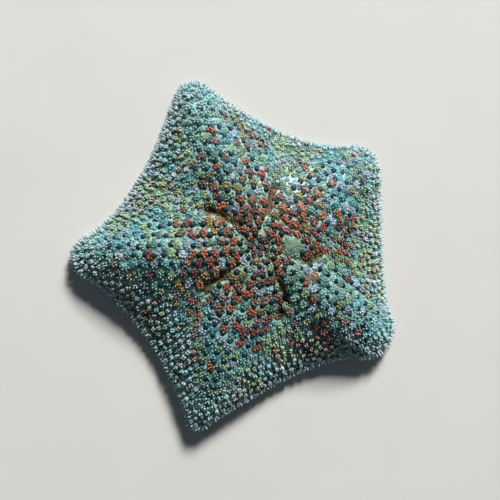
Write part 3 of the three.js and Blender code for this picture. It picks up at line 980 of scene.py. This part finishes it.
GILL = dict(radius=0.56, height=0.36, from_plate=-0.52, left_out=0.1)
GILL_PROFILE = [(0, 1.0), (0.4, 0.93), (0.75, 0.68), (0.96, 0.25), (1.0, -0.3)]
petal_plates = np.flatnonzero((plates["petal"] > 0.5) & (length_of(plate_at) > 2.4))
gilled = petal_plates[chance.random(len(petal_plates)) > GILL["left_out"]]
some = len(gilled)
gill_base, gill_axes = axes_on(plate_at[gilled], np.zeros(some))
gill_across = chance.normal(0, 0.1, some)
gill_out = GILL["from_plate"] * plates["room"][gilled] + chance.normal(0, 0.08, some)
gill_from_plate = np.column_stack([gill_across, gill_out, np.full(some, 0.02)])
gill_foot = gill_base + np.einsum("ni,nij->nj", gill_from_plate, gill_axes)
gill_radius = GILL["radius"] * chance.uniform(0.75, 1.1, some) * np.sqrt(plates["room"][gilled] / 2.1)


def stand(name, shape, feet, up, radius, height, centres, patch=0.003, **values):
    """A joined mesh of copies of a turned shape on their feet, each along its own direction."""
    across, rise = shape[:2]
    radius, height = [np.broadcast_to(size, len(feet)) for size in (radius, height)]
    side = unit(np.cross(up, np.array([0.3, 0.9, 0.2])))
    other = np.cross(up, side)
    spread = side[:, None, :] * across[None, :, :1] + other[:, None, :] * across[None, :, 1:]
    risen = up[:, None, :] * (rise[None, :] * height[:, None])[..., None]
    points = feet[:, None, :] + spread * radius[:, None, None] + risen
    return add_copies(name, shape, points.reshape(-1, 3), centres, patch, **values)


gills = stand(
    "gills", turned(14, GILL_PROFILE), gill_foot, plates["axes"][gilled, 2], gill_radius,
    gill_radius * GILL["height"] / GILL["radius"], back_map(gill_foot[:, :2]), 0.004,
    seed=plates["seed"][gilled],
)


def nearest(points, feet, count):
    """Numbers of the feet nearest to each point."""
    tree = kdtree.KDTree(len(feet))
    for i, foot in enumerate(feet):
        tree.insert(foot, i)
    tree.balance()
    return np.array([[i for _, i, _ in tree.find_n(point, count)] for point in points])


# The skin's distance from the nearest gill, in gills' radii, for the pale ring that it shows round each
# and the painted shade right beside its foot.
skin_back = skin_points[upper]
pit = np.full(len(skin_points), 9.0)
nearest_gill = nearest(skin_back, gill_foot, 1)[:, 0]
pit[upper] = length_of(skin_back - gill_foot[nearest_gill]) / gill_radius[nearest_gill]
mark(skin.data, "pit", pit)


def gill_material():
    """Almost black: greenish near the middle of the back, bluer further out, paler at the foot."""
    material, tree = new_material("gill_skin", 0.6, 0.08, **{"Specular IOR Level": 0.25})
    place, seed = own_place(tree), attribute(tree, "seed")
    mottle = noise(tree, place, 2500)
    outer = ramp(tree, from_centre(tree, place), 0.01, 0.024)
    near = mix(tree, seed, "#061E16", "#0A3234")
    far = mix(tree, seed, "#05283A", "#0C4A60")
    at_foot = ramp(tree, attribute(tree, "lift"), 0.0, 0.3, 0.3, 0)
    colour = mix(tree, at_foot, mix(tree, outer, near, far), "#1E5A56")
    colour = mix(tree, ramp(tree, mottle, 0.5, 0.8, 0, 0.2), colour, "#124854")
    return finished(material, colour, mottle, 0.2, 0.05)


settle(gills, gill_material())

# ---- Small plates ----
# Between the main plates and the gills smaller plates fill the gaps, round and in the pale colours
# of the skin, so that little of the skin itself lies bare.

SMALL = dict(least=0.19, most=0.55)


def gap_places(count):
    """Middles and sizes of the small plates: the widest gap takes one first."""
    points = anywhere(count)
    points = points[length_of(points - sieve_at) > SIEVE["room"] - 0.2]
    lowered = on_skin(points)[0]
    feet = np.vstack([plates["base"], gill_foot])
    half = np.concatenate([(plates["length"] + plates["width"]) / 2 * 0.98, gill_radius])
    clear = np.full(len(points), SMALL["most"])
    for column in nearest(lowered, feet, 5).T:
        clear = np.minimum(clear, length_of(lowered - feet[column]) - half[column])
    chosen, sizes = [], []
    while clear.max() > SMALL["least"]:
        best = np.argmax(clear)
        chosen.append(points[best])
        sizes.append(clear[best])
        clear = np.minimum(clear, length_of(lowered - lowered[best]) - clear[best] * 0.9)
    return np.array(chosen), np.array(sizes)


small_at, small_size = gap_places(30000)
small_petal = in_petal(small_at).astype(float)
small_plates = set_plates(
    small_at, small_size * 2, 0.5, 0.47, 0.05, 0.12 + 0.1 * small_size, 1.2,
    petal=small_petal, reds=np.where(creased(small_at), 1.6, 0.12) + 1.7 * bordering(small_at),
)
SMALL_PROFILE = [(0, 1.0), (0.45, 0.92), (0.8, 0.55), (1.0, -0.3)]
small_piece = plates_mesh("small_plates", small_plates, turned(12, SMALL_PROFILE), 0.005)
settle(small_piece, plate_material)

# ---- Granules of the back ----
# Each plate carries a tuft of blunt granules, like glass beads under a wet film: two curved rows on
# a petal's plate, and a round tuft further out along the arm. Between the petals they are longer,
# like tiny pegs, with pale tips.


def rosette(across, out):
    """One granule in the middle of five."""
    turns = np.arange(5) * math.tau / 5
    return [(0.0, 0.0)] + [(across * math.cos(turn), out * math.sin(turn)) for turn in turns]


PETAL_TUFT = [
    (-0.72, 0.28), (-0.25, 0.5), (0.25, 0.5), (0.72, 0.28), (-0.47, -0.36), (0.0, -0.3), (0.47, -0.36),
]
THREE = [(-0.45, -0.25), (0.45, -0.25), (0.0, 0.5)]
FOUR = [(0.3, 0.26), (-0.26, 0.32), (-0.3, -0.27), (0.27, -0.3)]
BEAD = dict(radius=0.22, height=0.24, splay=0.5)
STUD = dict(radius=0.185, height=0.3, splay=0.55)
PEG = dict(radius=0.16, height=0.4, splay=0.5)
STUMP = dict(radius=0.195, height=0.43, splay=0.4)
SMALL_BEAD = dict(radius=0.15, height=0.2, splay=0.5)
LONE_BEAD = dict(radius=0.17, height=0.2, splay=0)
ENOUGH = dict(room=1.75, size=0.42)  # a smaller petal plate takes three granules, a small plate one
DOME = [(0, 1.0), (0.5, 0.88), (0.86, 0.5), (1.0, -0.25)]


def tuft_on(plates, pattern, chosen, drop, sizes):
    """Granules of some plates: their feet and directions, sizes and the plates' own values."""
    on = np.repeat(np.flatnonzero(chosen), len(pattern))
    spot = np.tile(pattern, (chosen.sum(), 1)) + chance.normal(0, 0.06, (len(on), 2))
    kept = chance.random(len(on)) > drop
    on, spot = on[kept], spot[kept]
    out = np.minimum(1, length_of(spot))
    rise = np.interp(out, *np.transpose(PLATE_PROFILE))
    foot = on_plates(plates, on, *spot.T, plates["high"][on] * rise - 0.05)
    margin = margin_share(foot[:, :2])
    splay = raised(spot * sizes["splay"], 1.0)
    splay[:, 1] += mixed(0.25, 0.05, plates["petal"][on]) + 0.32 * margin**2  # outward
    up = unit(np.einsum("ni,nij->nj", splay, plates["axes"][on]))
    size = chance.uniform(0.75, 1.2, (len(on), 2)) * [sizes["radius"], sizes["height"]]
    size *= np.stack([1 + 0.15 * margin, 1 + 0.3 * margin], -1)
    own = {key: plates[key][on] for key in PIGMENTED}
    return dict(foot=foot, up=up, size=size, margin=margin, arm=plates["arm"][on], **own)


def joined(parts):
    """One set of values from some sets with the same names."""
    return {key: np.concatenate([part[key] for part in parts]) for key in parts[0]}


of_petal = plates["petal"] > 0.5
outlying = of_petal & (length_of(plate_at) > 15)
few = of_petal & (plates["room"] < ENOUGH["room"]) & ~outlying
low_down = margin_share(plate_at) > 0.25
large = small_size > ENOUGH["size"]
tufts = [
    tuft_on(plates, PETAL_TUFT, of_petal & ~few & ~outlying, 0.1, BEAD),
    tuft_on(plates, THREE, few, 0, BEAD),
    tuft_on(plates, rosette(0.64, 0.68), outlying, 0.1, STUD),
    tuft_on(small_plates, THREE, large, 0, SMALL_BEAD),
    tuft_on(small_plates, [(0.0, 0.0)], ~large, 0, LONE_BEAD),
]
brushes = [
    tuft_on(plates, rosette(0.58, 0.58), ~of_petal & ~low_down, 0.1, PEG),
    tuft_on(plates, FOUR, ~of_petal & low_down, 0.08, STUMP),
]


def stand_by_arm(name, shape, material, tufts):
    """Joined meshes of granules, one for each arm."""
    beads = joined(tufts)
    for k in range(len(ARMS)):
        mine = beads["arm"] == k
        foot, up, size = [beads[key][mine] for key in ("foot", "up", "size")]
        own = {key: beads[key][mine] for key in (*PIGMENTED, "margin")}
        piece = stand(f"{name}_{k + 1}", shape, foot, up, *size.T, back_map(foot[:, :2]), **own)
        settle(piece, material)


bead_shape = turned(9, DOME)
peg_shape = turned(7, [(0, 1.0), (0.5, 0.93), (0.9, 0.65), (0.95, -0.2)])
bead_material = coat_material("granule_calcite", "Bead", 0.0, "#DDF0E2", 0.2, 0.45)
# The spinelets' tips are paler still: partly whitish chalk, partly painted highlight.
brush_material = coat_material("brush_calcite", "Bead", 0.0, "#DDF0EE", 0.4, 0.4)
stand_by_arm("granules", bead_shape, bead_material, tufts)
stand_by_arm("spinelets", peg_shape, brush_material, brushes)

# ---- Sieve plate ----
# The madreporite lets sea water into the body. It is a pale round plate set off the middle of the
# back, its top cut by fine branching furrows that run from its centre to its rim.

SIEVE_RINGS, SIEVE_ROUND = 26, 120
SIEVE_TOP = dict(rise=0.32, furrow=0.06, rim=-0.3)


def sieve_furrows(share, turn):
    """Depth of the furrows: few near the centre, more towards the rim, and never quite straight."""
    bent = turn + 0.22 * np.sin(5 * share + 2 * turn) + 0.1 * np.sin(13 * share + 5 * turn)
    waves = [0.5 + 0.5 * np.cos(number * bent + number) for number in (7, 14, 27)]
    inner, outer = smoothstep(share, 0.28, 0.42), smoothstep(share, 0.58, 0.72)
    return mixed(mixed(waves[0], waves[1], inner), waves[2], outer) * smoothstep(share, 0.02, 0.2)


sieve_shares = np.arange(1, SIEVE_RINGS + 1) / SIEVE_RINGS
turns = np.arange(SIEVE_ROUND) / SIEVE_ROUND * 2 * math.pi
share, around = [grid.ravel() for grid in np.meshgrid(sieve_shares, turns, indexing="ij")]
furrows = sieve_furrows(share, around)
sieve_height = SIEVE_TOP["rise"] * (1 - share**3) - SIEVE_TOP["furrow"] * furrows
sieve_height[share > 0.97] = SIEVE_TOP["rim"]
lobed = 1 + 0.05 * np.cos(5 * around + 0.6) + 0.03 * np.cos(3 * around)
flat_share = heading(around) * (share * lobed)[:, None]
sieve_base, sieve_up = on_skin(sieve_at[None])
side = np.cross([0.0, 1.0, 0.0], sieve_up[0])
side /= np.linalg.norm(side)
other = np.cross(sieve_up[0], side)
own = np.vstack([[0, 0, SIEVE_TOP["rise"]], raised(flat_share * SIEVE["radius"], sieve_height)])
sieve_points = sieve_base + own[:, :1] * side + own[:, 1:2] * other + own[:, 2:] * sieve_up
sieve_faces = turned_faces(SIEVE_ROUND, SIEVE_RINGS)
sieve_layout = np.vstack([[0, 0], flat_share / 1.1])
sieve = add_mesh(
    "sieve_plate", sieve_points, *copies(sieve_faces, 1, len(own)),
    patches(sieve_faces, sieve_layout, np.array([[0.4, 0.5]]), 0.7),
    lift=np.concatenate([[0], furrows]), share=np.concatenate([[0], share]),
)


def sieve_material():
    """Sage green calcite, darker down in the furrows."""
    material, tree = new_material("sieve_calcite", 0.4, 0.5)
    place = own_place(tree)
    grain, mottle = noise(tree, place, 3500, 3), noise(tree, place, 900)
    colour = mix(tree, ramp(tree, mottle, 0.35, 0.65), "#66866E", "#94AE94")
    in_furrow = ramp(tree, attribute(tree, "lift"), 0.3, 0.9, 0, 0.55)
    colour = mix(tree, in_furrow, colour, "#3A5C50")
    colour = mix(tree, ramp(tree, grain, 0.62, 0.74, 0, 0.6), colour, "#D9E6DA")
    return finished(material, colour, grain, 0.6, 0.08)


settle(sieve, sieve_material())
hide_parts("madreporite")

# ---- Edge spinelets ----
# Round the thin edge each marginal plate carries a tuft of slender chalky spinelets, fanned like a
# comb in four rows, one above the other. They hinge on the skin, teal at the foot and whitish at
# the tip.

SPINES_EACH = 3  # in a tuft's row
FRINGE = [  # each row's half spread and pitch in degrees, and its height up the edge
    dict(spread=18, pitch=4, up=0.6, reach=1.0, radius=0.135),
    dict(spread=18, pitch=-4, up=0.32, reach=1.0, radius=0.13),
    dict(spread=16, pitch=-14, up=0.08, reach=0.93, radius=0.12),
    dict(spread=26, pitch=28, up=0.9, reach=0.84, radius=0.13),
]
TIP_CLEAR = 0.15  # the lowest row bends no further down than this above the floor
SPINE_PROFILE = [(0, 1.0), (0.5, 0.97), (0.85, 0.84), (1.0, 0.45), (0.8, -0.12)]
tuft_edge, tuft_out = spaced_edge(TEETH)


def round_lip(ring, at):
    """Points on one of the skin's rings at some shares of the way round it."""
    steps = np.arange(len(ring)) / len(ring)
    return np.stack([np.interp(at, steps, ring[:, axis], period=1) for axis in range(3)], -1)


def fan_of(row):
    """Feet, directions and lengths of one row of spinelets round the whole edge."""
    tuft = np.repeat(np.arange(TEETH), SPINES_EACH)
    place = np.tile(np.linspace(-1, 1, SPINES_EACH), TEETH)
    at = (tuft + place * 0.33 + chance.normal(0, 0.06, len(tuft))) / TEETH
    rise = np.clip(row["up"] + chance.normal(0, 0.12, len(tuft)), 0, 1)
    foot = mixed(round_lip(lip_base, at), round_lip(lip, at), rise[:, None])
    out = tuft_out[tuft]
    fan = np.radians(place * row["spread"] + chance.normal(0, 8, len(tuft)))
    pitch = np.radians(row["pitch"] + chance.normal(0, 9, len(tuft)))
    free = ((tuft_edge[tuft] - foot[:, :2]) * out).sum(1)
    length = free * row["reach"] * chance.uniform(0.74, 1.0, len(tuft))
    radius = row["radius"] * chance.uniform(0.85, 1.15, len(tuft))
    to_floor = np.arcsin(np.clip((TIP_CLEAR - foot[:, 2]) / length, -1, 1))
    pitch = np.maximum(pitch, to_floor)
    level = out * np.cos(fan)[:, None] + leftward(out) * np.sin(fan)[:, None]
    up = raised(level * np.cos(pitch)[:, None], np.sin(pitch))
    seed = chance.random(TEETH)[tuft]
    return dict(foot=foot - up * 0.05, up=up, length=length, radius=radius, seed=seed)


fans = joined([fan_of(row) for row in FRINGE])
fringe = stand(
    "edge_spinelets", turned(8, SPINE_PROFILE), fans["foot"], fans["up"], fans["radius"],
    fans["length"], flat_map(fans["foot"][:, :2]), seed=fans["seed"],
)


def spinelet_material():
    """Chalk under thin skin: tinted at the foot and whitish towards the tip, finely streaked."""
    glow = {"Subsurface Weight": 0.4, "Subsurface Scale": 0.0008, "Subsurface Radius": (1, 1, 1)}
    material, tree = new_material("spinelet_calcite", 0.4, 0.2, **glow)
    grain = noise(tree, own_place(tree), 3000, 2)
    colour = mix(tree, attribute(tree, "seed"), "#4C8E95", "#7F9DA2")
    colour = mix(tree, ramp(tree, attribute(tree, "lift"), 0.0, 0.6), colour, "#B7D2D8")
    return finished(material, streaked(tree, 0.35, colour, grain, "#A8A8B0"), grain, 0.3, 0.04)


settle(fringe, spinelet_material())

# The cushions that these tufts stand on, high up the edge.
CUSHION = dict(radius=0.62, height=0.22, up=0.9)
cushion_at = np.arange(TEETH) / TEETH
cushion_out = unit(raised(tuft_out, 0.9))
cushion_foot = mixed(round_lip(lip_base, cushion_at), round_lip(lip, cushion_at), CUSHION["up"])
cushion_foot -= cushion_out * 0.05
cushions = stand(
    "marginal_cushions", turned(12, SMALL_PROFILE), cushion_foot, cushion_out, CUSHION["radius"],
    CUSHION["height"], flat_map(cushion_foot[:, :2]), 0.006, seed=chance.random(TEETH),
    root=root_of(cushion_foot), petal=0.0, reds=0.0,
)
settle(cushions, plate_material)

# ---- Arm tips ----
# A single terminal plate caps each arm, a smooth bluish dome set with a few granules. Under it, at
# the groove's end, sits the eyespot: a cushion of tiny red cups that tell light from dark.

CAP = dict(from_tip=1.55, radius=0.74, height=2.05)
CAP_PROFILE = [
    (0, 1.0), (0.25, 0.97), (0.5, 0.87), (0.74, 0.66), (0.92, 0.36), (1.0, 0.0), (0.9, -0.5),
]
cap_shape = turned(28, CAP_PROFILE)
cap_material = coat_material("terminal_calcite", "Plate", 0.4, "#C3DDDC", 0.3, 0.4)
cap_spot = np.vstack([[0, 0], heading(np.arange(8) * math.tau / 8 + 0.3) * 0.75])
cap_bead_up = raised(cap_spot, np.sqrt(1 - (cap_spot**2).sum(1)))
for k, arm in enumerate(ARMS):
    out = on_circle(arm["angle"], 1)[None]
    foot = raised(out * (arm["reach"] - CAP["from_tip"]), CAP["height"])
    values = dict(root=root_of(foot), seed=0.3 + 0.1 * k, petal=1.0, reds=0.0)
    cap = stand(
        f"terminal_{k + 1}", cap_shape, foot, raised(out * 0.35, 0.94), CAP["radius"], CAP["radius"],
        np.array([[0.5, 0.5]]), 0.6, **values,
    )
    settle(cap, cap_material)
    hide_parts(f"terminal_plate_{k + 1}")
    bead_foot = foot + cap_bead_up * CAP["radius"] * 0.93
    cap_beads = stand(
        f"terminal_granules_{k + 1}", bead_shape, bead_foot, cap_bead_up, 0.15, 0.2,
        back_map(bead_foot[:, :2]), **values,
    )
    settle(cap_beads, bead_material)

EYE = dict(from_tip=3.1, height=0.55, cups=12, spread=0.26, radius=0.085, length=0.24)
eye_share = EYE["spread"] * np.sqrt(np.arange(EYE["cups"]) / EYE["cups"])
eye_spread = heading(np.arange(EYE["cups"]) * 2.4) * eye_share[:, None]
eye_centre = np.array([on_circle(arm["angle"], arm["reach"] - EYE["from_tip"]) for arm in ARMS])
eye_foot = raised((eye_centre[:, None, :] + eye_spread).reshape(-1, 2), EYE["height"])
eye_up = unit(np.tile(raised(eye_spread * 2.2, -1.0), (len(ARMS), 1)))
eyespots = stand(
    "eyespots", turned(12, DOME), eye_foot, eye_up, EYE["radius"], EYE["length"],
    back_map(eye_foot[:, :2]), 0.002, seed=chance.random(len(eye_foot)),
)


def eyespot_material():
    material, tree = new_material("eyespot_pigment", 0.3, 0.6)
    grain = noise(tree, own_place(tree), 6000, 2)
    colour = mix(tree, attribute(tree, "seed"), "#8E1F22", "#C8402E")
    colour = mix(tree, ramp(tree, grain, 0.4, 0.7, 0, 0.5), colour, "#4A0D12")
    return finished(material, colour, grain, 0.3, 0.03)


settle(eyespots, eyespot_material())
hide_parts(*[f"eyespot_{k + 1}" for k in range(5)])

# ---- Mouth side ----
# Below, the skin covers small plates set closely, most of them with one or two short blunt spines.
# Taller spines line both sides of each groove and lean over the tube feet in it.


def clear_of_grooves(points):
    """How far each point is from the side of the nearest groove."""
    clear = []
    for arm in ARMS:
        along, aside, length = beside_groove(points, arm)
        half = groove_half(np.clip(along / length, 0, 1))
        clear.append(np.where(along > 0, aside - half, length_of(points)))
    return np.min(clear, axis=0)


def mouth_side_places(count, room):
    """Places of the plates below: random, and none closer to another than their room."""
    points = thrown(count)
    radius = length_of(points)
    free = (radius < edge_distance(bearing_of(points)) - 1.9) & (radius > MOUTH["radius"] + 0.9)
    points = points[free & (clear_of_grooves(points) > 0.95)]
    return keeping_clear(points, points, np.full(len(points), room), np.zeros((0, 2)))


SUNK = 0.06  # how far their feet stand in the skin


def hang(name, shape, places, lean, radius, height, material, patch=0.004):
    """A joined mesh of copies that hang from the mouth side's skin, leaning as given."""
    feet, down = raised(places, oral_height(places) + SUNK), unit(raised(lean, -1.0))
    piece = stand(name, shape, feet, down, radius, height, flat_map(places), patch)
    settle(piece, material)


def chalk_material(name, low, high, tip):
    """Chalk with a greenish or cream skin, paler at the tips."""
    material, tree = new_material(name, 0.45, 0.3)
    place = own_place(tree)
    grain, mottle = noise(tree, place, 2800, 3), noise(tree, place, 260)
    colour = mix(tree, ramp(tree, mottle, 0.35, 0.65), low, high)
    colour = mix(tree, ramp(tree, attribute(tree, "lift"), 0.3, 1.0, 0, 0.7), colour, tip)
    return finished(material, streaked(tree, 0.3, colour, grain, "#7A7A70"), grain, 0.4, 0.06)


oral_chalk = chalk_material("oral_calcite", "#8FA58C", "#C9B98F", "#E4DCC2")
below = mouth_side_places(16000, 1.55)
count = len(below)
hang(
    "oral_plates", turned(12, SMALL_PROFILE), below, np.zeros((count, 2)),
    chance.uniform(0.62, 0.78, count), 0.16, oral_chalk, patch=0.008,
)
outward = unit(below)
pair = np.repeat(np.arange(count), 2)
aside = leftward(outward)[pair] * np.tile([0.24, -0.24], count)[:, None]
kept = chance.random(len(pair)) < 0.8
pair, aside = pair[kept], aside[kept]
hang(
    "oral_spines", turned(8, SPINE_PROFILE), below[pair] + aside, outward[pair] * 0.5 + aside * 0.6,
    chance.uniform(0.11, 0.15, len(pair)), chance.uniform(0.5, 0.66, len(pair)), oral_chalk,
)

# ---- Grooves and tube feet ----
# Down the middle of each arm, below, runs an open groove. Two rows of tube feet, soft water-filled
# stalks that end in suckers, stand in it, fenced by a row of spines on either side.

FOOT_PROFILE = [
    (0, 0.96), (0.45, 0.97), (0.8, 1.0), (1.0, 0.97), (1.02, 0.9), (0.72, 0.82), (0.6, 0.6),
    (0.66, 0.4), (0.6, 0.2), (0.68, 0.0), (0.6, -0.15),
]
FEET = dict(start=3.6, stagger=0.3, spacing=1.25, clear=1.0, share=0.42, beyond=0, lean=0.05)
FEET |= dict(near=0.306, far=0.18, shortest=0.35)  # radius near the mouth and at the arm's end
GUARD = dict(start=4.1, stagger=0, spacing=0.95, clear=-0.2, share=1, beyond=0.32, lean=-0.5)
GUARD |= dict(radius=0.13, height=0.74)
FARTHEST = 34


def groove_rows(sizes):
    """Places in a row on both sides of each groove, and which way they lean there."""
    places, leans = [], []
    for arm in ARMS:
        out = on_circle(arm["angle"], 1)
        length = arm["reach"] - GROOVE["clear"]
        for side in (-1, 1):
            aside = leftward(out) * side
            start = sizes["start"] + sizes["stagger"] * side
            along = np.arange(start, length - sizes["clear"], sizes["spacing"])
            off = groove_half(along / length) * sizes["share"] + sizes["beyond"]
            places.append(along[:, None] * out + off[:, None] * aside)
            leans.append(np.tile(aside * sizes["lean"], (len(along), 1)))
    return np.concatenate(places), np.concatenate(leans)


feet_at, feet_lean = groove_rows(FEET)
guard_at, guard_lean = groove_rows(GUARD)
feet_lean = feet_lean + chance.normal(0, 0.06, feet_at.shape)
feet_radius = mixed(FEET["near"], FEET["far"], length_of(feet_at) / FARTHEST)
feet_long = oral_height(feet_at) - chance.uniform(0.22, 0.5, len(feet_at))
feet_long = np.maximum(FEET["shortest"], feet_long)


def tube_foot_material():
    """Soft cream skin in brownish folds, paler at the sucker."""
    glow = {"Subsurface Weight": 0.2, "Subsurface Scale": 0.0004}
    material, tree = new_material("tube_foot_skin", 0.3, 0.5, **glow)
    folds = noise(tree, own_place(tree), 3200, 2)
    at_sucker = ramp(tree, attribute(tree, "lift"), 0.78, 0.9)
    colour = mix(tree, at_sucker, "#D8C9A0", "#E9E2CF")
    colour = mix(tree, ramp(tree, folds, 0.45, 0.75, 0, 0.5), colour, "#B98F58")
    return finished(material, colour, folds, 0.5, 0.08)


hang(
    "tube_feet", turned(14, FOOT_PROFILE), feet_at, feet_lean, feet_radius, feet_long,
    tube_foot_material(),
)
hang(
    "groove_spines", turned(8, SPINE_PROFILE), guard_at, guard_lean, GUARD["radius"],
    chance.uniform(0.9, 1.05, len(guard_at)) * GUARD["height"],
    chalk_material("groove_calcite", "#B9B38E", "#D6C79C", "#EFE7CF"),
)

# ---- Mouth ----
# Five jaws, each a pair of chalky plates with short spines, point in over the mouth. A soft
# wrinkled membrane closes the pit above them, with the mouth's opening in its middle.


def mouth_material(name, low, high, stretch, roughness):
    """A soft or chalky surface marked by folds that run one way more than the other."""
    material, tree = new_material(name, roughness, 0.3)
    place = own_place(tree)
    folds = noise(tree, vector_maths(tree, "MULTIPLY", place, stretch), 1400, 3)
    colour = mix(tree, ramp(tree, folds, 0.3, 0.7), low, high)
    colour = streaked(tree, 0.3, colour, noise(tree, place, 3600, 2), "#808080")
    return finished(material, colour, folds, 0.5, 0.12)


finishes = {"peristome": mouth_material("peristome_skin", "#8C6A4E", "#CDB48C", (1, 1, 3), 0.4)}
for k in range(len(ARMS)):
    finishes[f"jaw_{k + 1}"] = mouth_material("jaw_calcite", "#B7A980", "#E3D8B8", (1, 2, 1), 0.5)
for name, material in finishes.items():
    for own_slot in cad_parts[name].material_slots:
        own_slot.material = material

JAW_SPINE = dict(radius=0.11, height=0.42, length=0.34)
JAW_ROW = 4  # spines along each side of a jaw
jaw_at, jaw_lean = [], []
for hollow in HOLLOWS:
    out = on_circle(hollow["angle"], 1)
    for side in (-1, 1):
        for step in range(JAW_ROW):
            aside = leftward(out) * side
            jaw_at.append(out * (1.0 + 0.42 * step) + aside * (0.16 + 0.2 * step))
            jaw_lean.append(-out * (0.9 - 0.2 * step) - aside * 0.1)
jaw_at = np.array(jaw_at)
jaw_spines = stand(
    "jaw_spines", turned(8, SPINE_PROFILE), raised(jaw_at, JAW_SPINE["height"]),
    unit(raised(jaw_lean, -1.0)), JAW_SPINE["radius"], JAW_SPINE["length"], flat_map(jaw_at),
    seed=chance.random(len(jaw_at)),
)
settle(jaw_spines, oral_chalk)

# ---- Floor, light and camera ----
# A plain pale floor, one soft lamp at the upper right, a weak one opposite and a pale sky. The
# camera looks almost straight down, leaning a little from the left.

FLOOR_HALF = 6  # metres, from its middle to its sides
floor_mesh = bpy.data.meshes.new("floor")
floor_corners = [(x * FLOOR_HALF, y * FLOOR_HALF, 0) for x, y in ((-1, -1), (1, -1), (1, 1), (-1, 1))]
floor_mesh.from_pydata(floor_corners, [], [(0, 1, 2, 3)])
floor = bpy.data.objects.new("floor", floor_mesh)
bpy.context.scene.collection.objects.link(floor)
floor_material, floor_tree = new_material("floor_paint", 0.75, 0.0)
floor_grain = noise(floor_tree, own_place(floor_tree), 60)
floor_colour = mix(floor_tree, floor_grain, "#D6D3CC", "#DCD9D3")
floor_mesh.materials.append(finished(floor_material, floor_colour))

LEAN = 11  # degrees that the camera leans over to the left
LENS = 85
SENSOR = 36
SEEN = 0.0943  # width of the floor that the picture takes in, in metres
AIM = (0.0, 0.0002, 0.0)  # metres from the disc's centre to the middle of the view

camera_data = bpy.data.cameras.new("camera")
camera_data.lens = LENS
camera_data.sensor_width = SENSOR
camera = bpy.data.objects.new("camera", camera_data)
bpy.context.scene.collection.objects.link(camera)
bpy.context.scene.camera = camera
toward = np.array([-math.sin(math.radians(LEAN)), 0.0, math.cos(math.radians(LEAN))])
right = np.cross([0, 1, 0], toward)
right /= np.linalg.norm(right)
where = CENTRE * MM + np.array(AIM) + toward * SEEN * LENS / SENSOR
stance = np.column_stack([right, np.cross(toward, right), toward, where])
camera.matrix_world = Matrix([*stance.tolist(), [0, 0, 0, 1]])


def lamp(name, place, size, power):
    """A square soft lamp that faces the starfish, with its size in metres and its power in watts."""
    data = bpy.data.lights.new(name, "AREA")
    data.size = size
    data.energy = power
    light = bpy.data.objects.new(name, data)
    light.location = CENTRE * MM + np.array(place)
    light.rotation_euler = (-Vector(place)).to_track_quat("-Z", "Y").to_euler()
    bpy.context.scene.collection.objects.link(light)


lamp("key", (0.42, 1.41, 1.02), 0.42, 54)
lamp("fill", (-1.2, -0.9, 1.35), 1.5, 0.45)
world = bpy.data.worlds.new("sky")
world.use_nodes = True
background = world.node_tree.nodes["Background"]
background.inputs["Color"].default_value = paint("#C4DAEE")
background.inputs["Strength"].default_value = 0.08
bpy.context.scene.world = world
bpy.context.scene.view_settings.view_transform = "Standard"
